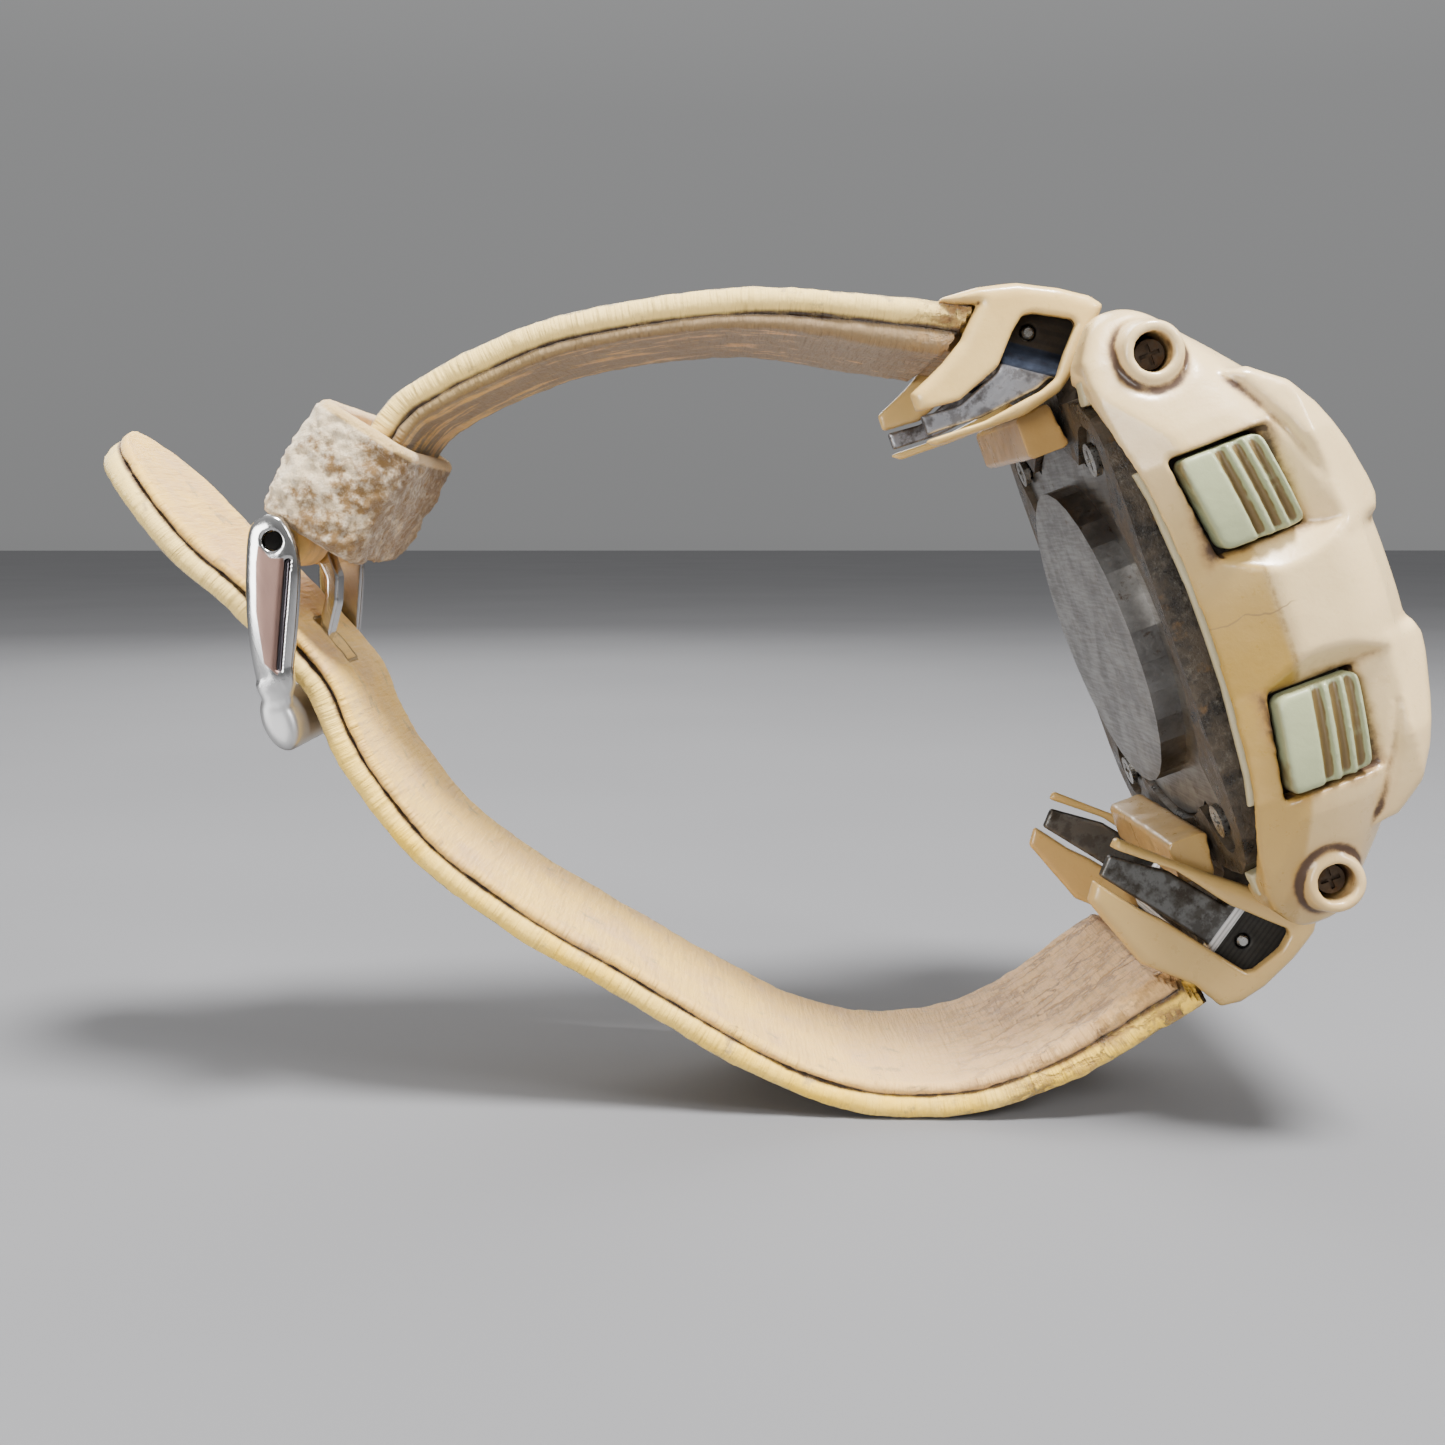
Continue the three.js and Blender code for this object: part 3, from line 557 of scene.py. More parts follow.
def case_resin(name):
    """Dark resin under greasy brown and grey grime."""
    s = Shader(name)
    grease = s.noise(2.2, 5, 0.65)
    s.colour(s.mix(s.between(grease, 0.35, 0.6), (0.018, 0.014, 0.010), (0.060, 0.043, 0.026)))
    s.paint(s.between(s.noise(0.9, 5, 0.7), 0.52, 0.78, 0, 0.7), (0.15, 0.13, 0.10))
    s.paint(s.between(s.noise(1.4, 4), 0.6, 0.75, 0, 0.8), (0.12, 0.065, 0.022))
    s.gloss(s.between(grease, 0.3, 0.7, 0.22, 0.6))
    s.bump(s.noise(0.6, 5, 0.7), 0.12)
    return s.material


def metal(name, tone, second, roughness, brushed=(1, 1, 1), scratch=0.006, stain=0.0):
    """Steel with fine brush lines along one direction, soft blotches and optional brown stains."""
    s = Shader(name, Metallic=1.0)
    lines = s.noise(0.25, 3, 0.6, brushed)
    s.colour(s.mix(s.between(s.noise(3, 4, 0.6), 0.35, 0.65), tone, second))
    s.paint(s.between(lines, 0.3, 0.8, 0, 0.25), tuple(part * 0.5 for part in tone))
    if stain:
        rust = s.between(s.noise(1.3, 5, 0.7), 0.62 - 0.2 * stain, 0.75 - 0.1 * stain, 0, 0.9)
        s.paint(rust, (0.09, 0.05, 0.025))
    s.gloss(s.between(lines, 0.2, 0.8, *roughness))
    s.bump(lines, scratch)
    return s.material


def buckle_steel(name):
    """Polished steel whose arms have a flat panel, painted pinkish brown as a reflection, inside a bright
    edge.
    """
    s = Shader(name, Metallic=1.0)
    lines = s.noise(0.3, 3, 0.6, (1, 1, 0.08))
    blotch = s.noise(2.5, 4)
    panel = s.between(s.attribute("panel"), -0.2, 0.6)
    s.colour(s.mix(blotch, (0.62, 0.61, 0.60), (0.46, 0.46, 0.46)))
    # painted reflection: the flat panel is painted pinkish brown for what it reflects
    s.paint(panel, s.mix(blotch, (0.24, 0.145, 0.115), (0.17, 0.11, 0.095)))
    # painted dark reflection: the hollows and cut lines are painted near black
    s.paint(s.between(s.attribute("hollow"), 0.25, 0.8), (0.05, 0.045, 0.05))
    bar = s.between(s.axes()[2], 23 * MM, 21.5 * MM)
    s.gloss(s.between(lines, 0.2, 0.8, 0.10, 0.2) + s.higher(panel, bar) * 0.28)
    s.bump(lines, 0.004)
    return s.material


def clip_steel(name, near, bend, far):
    """A steel strip in three tones of painted light and shade: the part deep in the cover, its bend and the
    part that shows.
    """
    s = Shader(name, Metallic=0.85, Specular_Tint=(0.25, 0.25, 0.28, 1))
    along = s.attribute("bend")
    blotch = s.noise(1.4, 5, 0.7)
    dirt = s.between(s.noise(3.2, 4, 0.6, offset=3), 0.5, 0.6)
    # painted light and shade: the tone changes from the part deep in the cover through the bend to the part
    # that shows
    s.colour(s.mix(s.between(along, -0.06, 0.02), near, bend))
    s.paint(s.between(s.math("SINE", along * 14.0), -0.2, 0.8, 0, 0.3), (0.01, 0.01, 0.012))
    beyond = s.between(along, 0.98, 1.06)
    s.paint(beyond, far)
    s.paint(s.between(blotch, 0.45, 0.6, 0, 0.6) * beyond, (0.035, 0.028, 0.022))
    s.paint(dirt * 0.6 * beyond, (0.030, 0.020, 0.010))
    s.gloss(s.between(blotch, 0.3, 0.7, 0.32, 0.55) + s.between(along, 1.0, 0.9, 0, 0.25))
    s.bump(s.noise(0.3, 4, 0.7), 0.02)
    return s.material


def plain(name, tone, second, roughness, size, bump=0.01):
    """A moulded or painted surface with slight variation in colour and gloss."""
    s = Shader(name)
    cloud = s.noise(size, 4)
    s.colour(s.mix(cloud, tone, second))
    s.gloss(s.between(cloud, 0.3, 0.7, *roughness))
    s.bump(s.noise(size * 0.2, 3), bump)
    return s.material


def leather(name):
    """Worn, cracked leather: a yellow rolled edge, a dirty groove and a pale pink-cream lining."""
    s = Shader(name, Sheen_Weight=0.25, Sheen_Roughness=0.5)
    along, across, depth = (s.attribute(key) for key in ("along", "across", "depth"))
    edge, lug, shade = (s.attribute(key) for key in ("edge", "lug", "shade"))
    grain = s.noise(0.45, 4, 0.65)
    cloud = s.noise(6, 4, 0.6)
    streak = s.noise(1.3, 5, 0.7)
    x, _, z = s.axes()
    outer = s.mix(cloud, (0.82, 0.57, 0.23), (0.72, 0.44, 0.13))
    roll = s.mix(s.between(z, 5 * MM, 30 * MM), (0.95, 0.58, 0.03), (0.88, 0.62, 0.18))
    roll = s.mix(s.between(cloud, 0.35, 0.65, 0, 0.4), roll, (0.90, 0.64, 0.22))
    lining = s.mix(s.between(x, -20 * MM, -45 * MM), (0.70, 0.42, 0.17), (0.84, 0.51, 0.08))
    lining = s.mix(s.between(cloud, 0.3, 0.7, 0, 0.5), lining, (0.62, 0.36, 0.12))
    blush = s.between(s.noise(4, 5, 0.65, (1, 0.5, 1), offset=2), 0.45, 0.75, 0, 0.7)
    lining = s.mix(blush, lining, (0.56, 0.33, 0.17))
    is_lining = s.between(depth, 0.60, 0.66)
    s.colour(s.mix(is_lining, s.mix(s.between(edge, 0.35, 0.8), outer, roll), lining))
    fuzz = s.between(depth, 0.16, -0.02) + (streak - 0.5) * 1.7
    s.paint(s.between(fuzz, 0.62, 1.0) * s.between(edge, 0.25, 0.6) * 0.8, (0.20, 0.15, 0.075))
    groove = s.between(abs(depth - 0.6), 0.11, 0.02) * s.between(edge, 0.3, 0.6)
    s.paint(groove * s.between(streak, 0.3, 0.55, 0.55, 1.0), (0.10, 0.05, 0.018))
    wipe = s.noise(2.6, 6, 0.7, (0.35, 1, 1), offset=4)
    worn = shade + (wipe - 0.5) * 2.6 - s.between(edge, 0.6, 0.2) * 0.35
    s.paint(is_lining * s.between(worn, 0.45, 0.75) * 0.85, (0.17, 0.115, 0.055))
    s.paint(s.between(s.noise(2.6, 5, 0.7, offset=7), 0.58, 0.70) * 0.65, (0.30, 0.20, 0.10))
    # the cracks follow wavy cells, longer along the strap than across it
    tiles = s.node("CombineXYZ", {0: along, 1: across, 2: depth})
    cells = s.node("Mapping", {"Vector": tiles, "Scale": (0.17, 0.46, 1.2)})
    ripple = s.node("TexNoise", {"Vector": tiles, "Scale": 0.8, "Detail": 3.0}, "Color")
    ripple = s.node("VectorMath", {0: ripple, 1: (0.7, 0.7, 0.7)}, operation="MULTIPLY")
    border = s.borders(s.node("VectorMath", {0: cells, 1: ripple}, operation="ADD"))
    split = s.between(border / s.between(streak, 0.3, 0.7, 0.03, 0.2), 1.0, 0.25)
    split = split * (lug * s.between(wipe, 0.38, 0.6, 0.15, 1.0)) * s.between(is_lining, 0, 1, 1, 0.6)
    s.paint(split, (0.13, 0.055, 0.014))
    s.paint(lug * s.between(streak, 0.45, 0.65, 0, 0.7), (0.40, 0.22, 0.06))
    s.gloss(s.between(grain, 0.3, 0.7, 0.55, 0.85))
    folds = s.node("Mapping", {"Vector": tiles, "Scale": (2.2, 0.25, 0.5)})
    s.bump(s.node("TexNoise", {"Vector": folds, "Scale": 1.0, "Detail": 4.0}), 0.34)
    s.bump(grain, 0.06)
    s.bump(1.0 - split, 0.22)
    return s.material


def suede(name):
    """Fluffy off-white suede, mottled brown, with a smooth yellowish rim."""
    s = Shader(name, Roughness=0.95, Sheen_Weight=0.6, Sheen_Roughness=0.4)
    x, _, z = s.axes()
    clumps = s.noise(0.8, 4, 0.7)
    low = s.between(x * 0.5 - z * 0.85, -66 * MM, -52 * MM, -0.12, 0.14)
    mottled = s.between(s.noise(2.4, 6, 0.72) + low, 0.42, 0.62)
    s.colour(s.mix(mottled, (0.80, 0.63, 0.40), (0.22, 0.12, 0.035)))
    s.paint(s.between(clumps, 0.45, 0.75, 0, 0.6), (0.88, 0.76, 0.58))
    s.paint(s.attribute("rim"), s.mix(clumps, (0.80, 0.56, 0.24), (0.66, 0.42, 0.16)))
    s.bump(s.noise(0.35, 5, 0.75), 0.25)
    return s.material


def glass(name):
    """Clear glass with faint smears."""
    s = Shader(name, IOR=1.5, Transmission_Weight=1.0)
    s.colour(s.mix(s.noise(4, 2), (0.93, 0.96, 0.97), (0.97, 0.98, 0.98)))
    s.gloss(s.between(s.noise(3, 5, 0.7), 0.5, 0.8, 0.01, 0.08))
    return s.material


def board(name):
    """Green solder resist with copper tracks showing through."""
    s = Shader(name, Coat_Weight=0.4)
    tracks = s.borders(s.scaled(1.6))
    s.colour(s.mix(s.between(tracks, 0.09, 0.05), (0.02, 0.13, 0.05), (0.05, 0.24, 0.08)))
    s.gloss(s.between(tracks, 0.0, 0.3, 0.3, 0.5))
    s.bump(tracks, 0.03)
    return s.material


M = {
    "bezel": cream_resin("bezel_resin", (0.80, 0.59, 0.30), (0.74, 0.54, 0.28), crack=True),
    "cover": cream_resin("cover_resin", (0.80, 0.57, 0.23), (0.72, 0.47, 0.16), 0.9),
    "tab": cream_resin("tab_resin", (0.46, 0.27, 0.09), (0.36, 0.20, 0.06)),
    # painted reflection: the upper clip's outer part is painted light grey for the light it reflects, against
    # its dark part deep in the cover
    "upper_clip": clip_steel(
        "upper_clip_steel", (0.030, 0.024, 0.018), (0.016, 0.020, 0.030), (0.34, 0.34, 0.36)
    ),
    # painted highlight: the lower clip's bend is painted near white where it catches the light
    "lower_clip": clip_steel(
        "lower_clip_steel", (0.050, 0.047, 0.042), (0.95, 0.95, 0.95), (0.15, 0.148, 0.14)
    ),
    "pale": pale_resin("pale_resin", (0.36, 0.39, 0.22), (0.28, 0.30, 0.17)),
    "strip": pale_resin("strip_resin", (0.52, 0.46, 0.29), (0.36, 0.30, 0.16)),
    "case": case_resin("case_resin"),
    # painted reflection: the steel is painted dark grey for the dark surroundings it reflects
    "steel": metal(
        "brushed_steel", (0.30, 0.29, 0.275), (0.17, 0.16, 0.15), (0.3, 0.5), (1, 0.06, 1), stain=0.2
    ),
    "screw": metal("screw_steel", (0.50, 0.49, 0.46), (0.26, 0.24, 0.21), (0.2, 0.45), stain=0.6),
    "clip": metal("clip_steel", (0.12, 0.12, 0.125), (0.07, 0.07, 0.08), (0.3, 0.5), (1, 1, 0.1), stain=0.45),
    "polished": metal(
        "polished_steel", (0.66, 0.65, 0.64), (0.52, 0.51, 0.50), (0.08, 0.2), (1, 1, 0.08), 0.003
    ),
    "buckle": buckle_steel("buckle_steel"),
    "dark_screw": metal(
        "grimy_screw_steel", (0.10, 0.075, 0.055), (0.05, 0.035, 0.025), (0.4, 0.6), stain=0.8
    ),
    "hole": metal("shaded_steel", (0.012, 0.011, 0.010), (0.008, 0.008, 0.008), (0.6, 0.8)),
    "leather": leather("strap_leather"),
    "suede": suede("keeper_suede"),
    "rubber": plain("black_rubber", (0.012, 0.012, 0.012), (0.03, 0.028, 0.025), (0.5, 0.8), 1.0),
    "glass": glass("crystal_glass"),
    "board": board("circuit_board"),
    "black": plain("black_plastic", (0.012, 0.012, 0.014), (0.02, 0.02, 0.022), (0.3, 0.45), 3.0),
    "white": plain("white_plastic", (0.70, 0.70, 0.66), (0.60, 0.60, 0.55), (0.4, 0.6), 3.0),
    "lcd": plain("lcd_glass", (0.33, 0.36, 0.27), (0.29, 0.32, 0.24), (0.12, 0.2), 6.0, 0.002),
    "ink": plain("lcd_segments", (0.008, 0.010, 0.012), (0.014, 0.016, 0.018), (0.2, 0.3), 1.0, 0.001),
}


def finished(obj, name, body, material, replaces=(), smooth_angle=None):
    """Names the piece, gives it its finish and lets it ride on its body."""
    obj.name = name
    obj.data.materials.clear()
    obj.data.materials.append(M[material])
    obj.data.shade_smooth()
    if smooth_angle:
        obj.data.set_sharp_from_angle(angle=math.radians(smooth_angle))
    if body:
        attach(obj, body)
    if replaces:
        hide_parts(*replaces)
    return obj


# ------------------------------------------------------------------ bezel
def rounded_box(half_a, half_b, radius):
    """The outline of a rectangle with round corners."""
    quarter = np.linspace(0, math.pi / 2, 7)
    corners = []
    for i, (a, b) in enumerate([(1, 1), (-1, 1), (-1, -1), (1, -1)]):
        for angle in quarter + i * math.pi / 2:
            corners.append((a * (half_a - radius) + radius * math.cos(angle),
                            b * (half_b - radius) + radius * math.sin(angle)))
    return corners


def crease(height):
    """Where the bezel's leaning back band meets its flank."""
    return np.interp(height, [0, 5, 14, 17.5, 22, 27], [8.9, 8.9, 7.0, 5.9, 4.6, 3.5])


def bezel():
    """A shell round the case: front, flanks and domed ends, with a pocket for every button."""
    clay = Clay((0.5, -24, -27), (22, 24, 27), 0.23)
    level, height = np.abs(clay.y), np.abs(clay.z)
    front = [
        (4.6, 25.5), (5.6, 25.9), (7.4, 25.6), (9.2, 24.4), (11.2, 22.3), (13.6, 19.8), (17.3, 15.1),
        (19.2, 9.8), (20.3, 5.2), (20.3, 2.2), (20.2, 0),
    ]
    back = [(3.95, 0), (3.9, 4), (3.3, 11.3), (2.2, 16.8), (2.0, 22), (4.4, 25.4)]
    side = mirrored(spline(back, 16)[0].tolist()[1:] + spline(front, 40)[0].tolist()[:-1])
    face = [(-23, 5), (-22.7, 12), (-21.9, 15.5), (-20.5, 19), (-19.2, 22), (-17.3, 25), (-15, 26.3)]
    face = mirrored(face + [(-y, z) for y, z in reversed(face)])
    dome = [
        (-5, 34), (6.6, 33), (10, 28.6), (13.4, 25.4), (17.0, 21.9), (18.9, 19.2), (20.1, 16.8), (20.5, 15.6),
        (20.5, 0), (-5, 0),
    ]
    body = shared(clay.prism("X", face), clay.prism("Y", side), 0.9)
    body = shared(body, clay.turned(dome), 1.6)
    # a thick pad stands on the corner between front and flank beside each button
    pad = [
        (11.6, 18.3), (13.2, 18.2), (15.6, 16.2), (17.2, 13.9), (18.7, 10.2), (19.6, 7), (19.8, 5.6),
        (19.3, 4.4), (15.9, 4.4), (16.0, 5.5), (15.4, 9.4), (14.2, 13.1), (12.8, 16),
    ]
    corner = (level - 22.45 + 0.7 * np.maximum(clay.x - 15.6, 0) + 0.25 * np.maximum(height - 12, 0)) / 1.2
    corner = shared(corner, 12.2 - level, 1.0)
    pad = shared(outline_distance(pad, clay.x, height) + 0 * level, corner, 0.9)
    body = joined(body, pad, 0.8)
    # behind a crisp crease the flank leans in towards the case
    lean = (level - 22.7 + 0.4 * (crease(height) - clay.x) + 0.22 * np.maximum(height - 13.5, 0)) / 1.077
    body = shared(body, lean, 0.12)
    # each button stands in a pocket with sloping walls
    slide = clay.x - BUTTON["x"] - BUTTON["slant"] * (height - BUTTON["z"])
    reach = height - BUTTON["z"]
    half_x, half_z = BUTTON["size_x"] / 2 + 0.3, BUTTON["size_z"] / 2 + 0.25
    rise = np.clip(level - POCKET_FLOOR, 0, 3)
    arc = 1.1 - 0.028 * (clay.x - 10.5) ** 2
    pocket = np.maximum(-slide - half_x - 0.05 * rise, (slide - half_x - 1.75 * rise) / 1.8)
    pocket = shared(pocket, (-reach - half_z - np.maximum(arc, 0) * rise) / 1.3, 0.3)
    pocket = shared(pocket, reach - half_z - 0.12 * rise, 0.3)
    body = carved(body, np.maximum(pocket, POCKET_FLOOR - level), 0.18)
    window = shared(np.abs(slide) - half_x, np.abs(reach) - half_z, 0.6)
    body = carved(body, np.maximum(window, 14 - level), 0.2)
    # a low round boss, with a shallow moat, stands on each end of the flank
    around = np.hypot(clay.x - BOSS["x"], height - BOSS["z"])
    boss = around - BOSS["r"] - 0.15 * (BOSS["face"] - level)
    boss = shared(boss, np.abs(level - 17) - BOSS["face"] + 17, 0.45)
    moat = np.hypot(around - BOSS["r"] - 0.7, (level - 20.1 + 0.3 * (height - BOSS["z"])) * 0.7) - 0.3
    body = joined(carved(body, moat, 0.5), boss, 0.35)
    body = carved(body, np.maximum(around - BOSS["hole"], 16.3 - level), 0.2)
    # the inside follows the case, and the crystal is seen through a cone
    inside = clay.rod("X", 0, 0, 16.3, -1, 15.4)
    for half_y, half_z, radius, low, high in (
        (19.6, 20.6, 7.3, -1, 10.5), (19.6, 17.3, 7.3, -1, 13.1), (20.45, 21.45, 8.1, -5, 5.3),
    ):
        inside = np.minimum(inside, clay.prism("X", rounded_box(half_y, half_z, radius), low, high))
    cone = [(15.2, 0), (15.2, 12.9), (16.2, 13.0), (19.6, 15.2), (22, 16), (22, 0)]
    body = carved(body, inside, 0.1)
    body = carved(body, clay.turned(cone), 0.35)
    room = [(7.7, 28), (7.7, 25), (4.7, 21.9), (1.6, 20.6), (-5, 20.2), (-5, 28)]
    body = carved(body, np.maximum(outline_distance(room, clay.x, height), level - 13.7), 0.2)
    body = carved(body, clay.rod("Y", BUTTON["x"], 0, 2.1, 15, 99), 0.3)
    body = carved(body, np.maximum(around - 1.9, level - 15.5))
    shell = clay.skin(body, "bezel")
    roughened(shell, [(9, 0.06, 3), (2.5, 0.03, 5)])
    measure_hollows(shell, near=["case_body", *(f"pusher_{place}" for place in PLACES)], rounds=12)
    points = coordinates(shell.data) / MM
    behind = crease(np.abs(points[:, 2])) - points[:, 0]
    store(shell.data, "band", np.clip(behind * 1.5 + 0.5, 0, 1))
    between_buttons = np.clip(6 - np.abs(points[:, 2]), 0, 1) * (np.abs(points[:, 1]) > 19)
    store(shell.data, "line", np.exp(-((behind / 0.22) ** 2)) * between_buttons)
    finished(shell, "bezel_shell", "root", "bezel", ["bezel"])


def guard_strip(name, side):
    """A thin pale strip that follows the bezel's back edge, with a wedge at each end."""
    span = sorted((side * 12.5, side * 21.5))
    clay = Clay((1.2, span[0], -22), (6, span[1], 22), 0.16)
    height = np.abs(clay.z)
    arch = np.interp(height, [0, 4, 11.3, 14, 22], [3.95, 3.9, 3.3, 2.75, 2.0])
    ring = np.maximum(
        outline_distance(rounded_box(20.35, 21.35, 8.05), clay.y, clay.z),
        -outline_distance(rounded_box(19.6, 20.6, 7.3), clay.y, clay.z),
    )
    band = np.abs(clay.x - arch - 0.15) - 0.4
    strip = np.maximum(shared(ring + 0 * clay.x, band, 0.2), height - STRIP_HALF_Z)
    wedge = outline_distance([(1.6, 19.6), (1.8, 21.5), (3.0, 21.3), (3.8, 19.3)], clay.x, height)
    wedge = np.maximum(wedge, np.abs(np.abs(clay.y) - 16.7) - 0.8)
    obj = clay.skin(np.minimum(strip, wedge), "strip")
    measure_hollows(obj, rounds=6)
    finished(obj, name, "root", "strip", [name.replace("strip", "guard_strip")])


def button(place, side, end):
    """A button whose front half is ribbed along its length."""
    z = end * BUTTON["z"]
    half_x, half_z = BUTTON["size_x"] / 2, BUTTON["size_z"] / 2
    reach = sorted((side * 11, side * 24))
    clay = Clay((BUTTON["x"] - 4.6, reach[0], z - 4.4), (BUTTON["x"] + 4.6, reach[1], z + 4.4), 0.13)
    y = clay.y * side
    slide = clay.x - BUTTON["x"] - BUTTON["slant"] * (np.abs(clay.z) - BUTTON["z"])
    cap = shared(np.abs(slide) - half_x, np.abs(clay.z - z) - half_z, 0.9)
    crown = y - BUTTON["face"] + 0.02 * (clay.z - z) ** 2 + 0.05 * np.maximum(slide - 0.5, 0)
    cap = shared(np.maximum(cap, BUTTON["back"] - y), crown, 0.4)
    for x in (-0.15, 1.2, 2.45):
        groove = np.hypot((slide - x) * 0.95, (crown + 0.1) * 0.8) - 0.42
        cap = carved(cap, groove, 0.2)
    recess = np.maximum(np.hypot(clay.x - BUTTON["x"], clay.z - z) - 2.2, y - BUTTON["back"] - 0.9)
    cap = np.maximum(cap, -recess)
    shaft = clay.rod("Y", BUTTON["x"], z, 1, *sorted((side * 11.2, side * (BUTTON["back"] + 1.1))))
    cap = clay.skin(np.minimum(cap, shaft), "button")
    roughened(cap, [(3, 0.03, 8), (0.5, 0.008, 9)])
    measure_hollows(cap, near=["bezel"], rounds=14, reach=0.6, depth=0.05)
    finished(cap, f"button_{place}", f"pusher_{place}", "pale", [f"pusher_{place}"])


bezel()
for place, (side, end) in PLACES.items():
    button(place, side, end)
guard_strip("strip_nine", -1)
guard_strip("strip_three", 1)


# ------------------------------------------------------------------ end links
COVERS = {
    "upper": {
        "end": 1,
        "outline": [
            (6.9, 26.5), (6.1, 27.6), (4, 29), (1, 30.5), (-2, 31.3), (-5.4, 31.6), (-4.2, 30.8),
            (-2.4, 30.1), (-3.9, 28.7), (-4.7, 27.9), (-6.6, 26.8), (-9.8, 25.4), (-10, 21.4), (-9.2, 20.8),
            (-5, 20.6), (-1.8, 20.6), (1.4, 21.3), (4, 23.1),
        ],
        "window": [
            (0.5, 28.0), (1.5, 27.8), (4.1, 26.3), (4.2, 25.8), (2.5, 23.9), (1.4, 22.45), (0, 21.95),
            (-5, 21.35), (-11, 21.6), (-11, 24), (-6.3, 23.5), (-2.6, 24.9), (-0.7, 27),
        ],
        "near": [(-2.2, 24.6), (-2.2, 28.6), (0.6, 28.9), (5, 26.2), (3.2, 23.4), (1.9, 22.2)],
        "plate": [
            (-1.9, 25.6), (-2.7, 24.6), (-6.4, 23.2), (-9.6, 23.5), (-9.6, 21.9), (-5, 21.65), (-0.1, 22.2),
            (1.2, 22.7), (2.2, 23.8),
        ],
        "bend": [(0.7, 25.35), (-0.38, 23.8)],
    },
    "lower": {
        "end": -1,
        "outline": [
            (7, 26.6), (6.4, 27.6), (4, 29.2), (1, 30.6), (-1.2, 31.1), (-3, 30.9), (-4.4, 28.4), (-8, 25),
            (-10.4, 18.4), (-9.2, 16.7), (-6.4, 14.2), (-2.2, 18), (0.2, 20.1), (4.2, 23.4),
        ],
        "window": [
            (-0.1, 28.7), (0.6, 28.8), (3.2, 27.9), (4.3, 26.9), (4.2, 26.4), (0.5, 22.9), (-2.8, 18.5),
            (-4.8, 16.8), (-7.4, 14.6), (-9.6, 16.4), (-6.8, 20.2), (-5.2, 21.9),
        ],
        "near": [(-2.4, 24.6), (-1.6, 28.8), (0.4, 29.4), (3.4, 28.7), (5.2, 27), (1.2, 22.8)],
        "plate": [
            (-2.2, 25.5), (-5.0, 21.7), (-8.6, 17.0), (-7.3, 15.6), (-3.1, 18.7), (0.2, 22.9), (1.4, 24.3),
        ],
        "bend": [(-0.1, 25.45), (-0.62, 24.7)],
    },
}


def link_cover(place):
    """A resin cover: a shell over the clip, with an open slot in both cheeks."""
    end, outline, window = (COVERS[place][key] for key in ("end", "outline", "window"))
    low, high = sorted((end * 13, end * 33))
    clay = Clay((-11, -14, low), (8, 14, high), 0.2)
    level = np.abs(clay.y)
    height = clay.z * end
    body = shared(outline_distance(outline, clay.x, height), level - COVER_HALF_Y, 1.1)
    under = [(6, 26.2), (5.4, 26.8), (3.4, 28.1), (0.6, 29.3), (-2, 30), (-12, 30.9), (-12, 10), (6, 10)]
    hollow = np.maximum(outline_distance(under, clay.x, height), level - COVER_HALF_Y + COVER_WALL)
    body = carved(body, hollow, 0.2)
    body = carved(body, outline_distance(window, clay.x, height) + 0 * level, 0.25)
    cover = clay.skin(body, "cover")
    roughened(cover, [(6, 0.06, 11), (1.8, 0.025, 12)])
    measure_hollows(cover, near=[f"{place}_link_clip", "case_body", f"{place}_strap"], rounds=12, reach=1.0)
    finished(cover, f"{place}_cover", f"{place}_link", "cover", [f"{place}_link_cover"])


def link_clip(place):
    """The bent steel clip in the cover: it starts deep in the cover and steps out into the slot."""
    end, plate = COVERS[place]["end"], COVERS[place]["plate"]
    low, high = sorted((end * 14, end * 30))
    clay = Clay((-11, -13, low), (6, 13, high), 0.15)
    level = np.abs(clay.y)
    height = clay.z * end
    bend_from, bend_to = (np.array(p) for p in COVERS[place]["bend"])
    way = bend_to - bend_from
    share = ((clay.x - bend_from[0]) * way[0] + (height - bend_from[1]) * way[1]) / (way @ way)
    middle = 10.8 + (0.95 if place == "upper" else 0.45) * np.clip(share, 0, 1)
    outlines = [outline_distance(line, clay.x, height) for line in (plate, COVERS[place]["near"])]
    sheet = shared(np.minimum(*outlines), np.abs(level - middle) - 0.45, 0.25)
    web = np.maximum(np.abs(clay.x + 2.3) - 0.4, np.maximum(np.abs(height - 26.5) - 2.1, level - 10.6))
    body = joined(sheet, web, 0.3)
    body = carved(body, np.hypot(clay.x - PIN["x"], height - PIN["z"]) - 0.66 + 0 * level, 0.1)
    clip = clay.skin(body, "clip")
    points = coordinates(clip.data) / MM
    store(clip.data, "bend", (points[:, (0, 2)] * (1, end) - bend_from) @ way / (way @ way))
    finished(clip, f"{place}_clip", f"{place}_link", f"{place}_clip", [f"{place}_link_clip"])


def link_pin(place):
    """The pin's thick middle ends inside the clip; its thin ends show in the clip's two holes."""
    profile = [(0, 0.66), (10.0, 0.66), (10.1, 0.5), (11.25, 0.5), (11.4, 0.36), (11.4, 0)]
    profile = [(-h, radius) for h, radius in reversed(profile[1:])] + profile[1:]
    pin = lathe(PIN["x"], COVERS[place]["end"] * PIN["z"], profile, 32)
    finished(pin, f"{place}_pin", "root", "screw", [f"{place}_link_pin"], 40)


for place in COVERS:
    link_cover(place)
    link_pin(place)
    tab = moulded(f"{place}_end_tab", 0.2, 3)
    roughened(tab, [(1.5, 0.05, 14)])
    measure_hollows(tab, near=["case_body", f"{place}_link_clip"], reach=1.5)
    finished(tab, f"{place}_tab", "root", "tab", [f"{place}_end_tab"])
    link_clip(place)


# ------------------------------------------------------------------ straps
def leather_depth(thick):
    """How deep the outer leather goes; the lining is the rest."""
    return min(LEATHER_SHARE * thick, LEATHER_MOST)


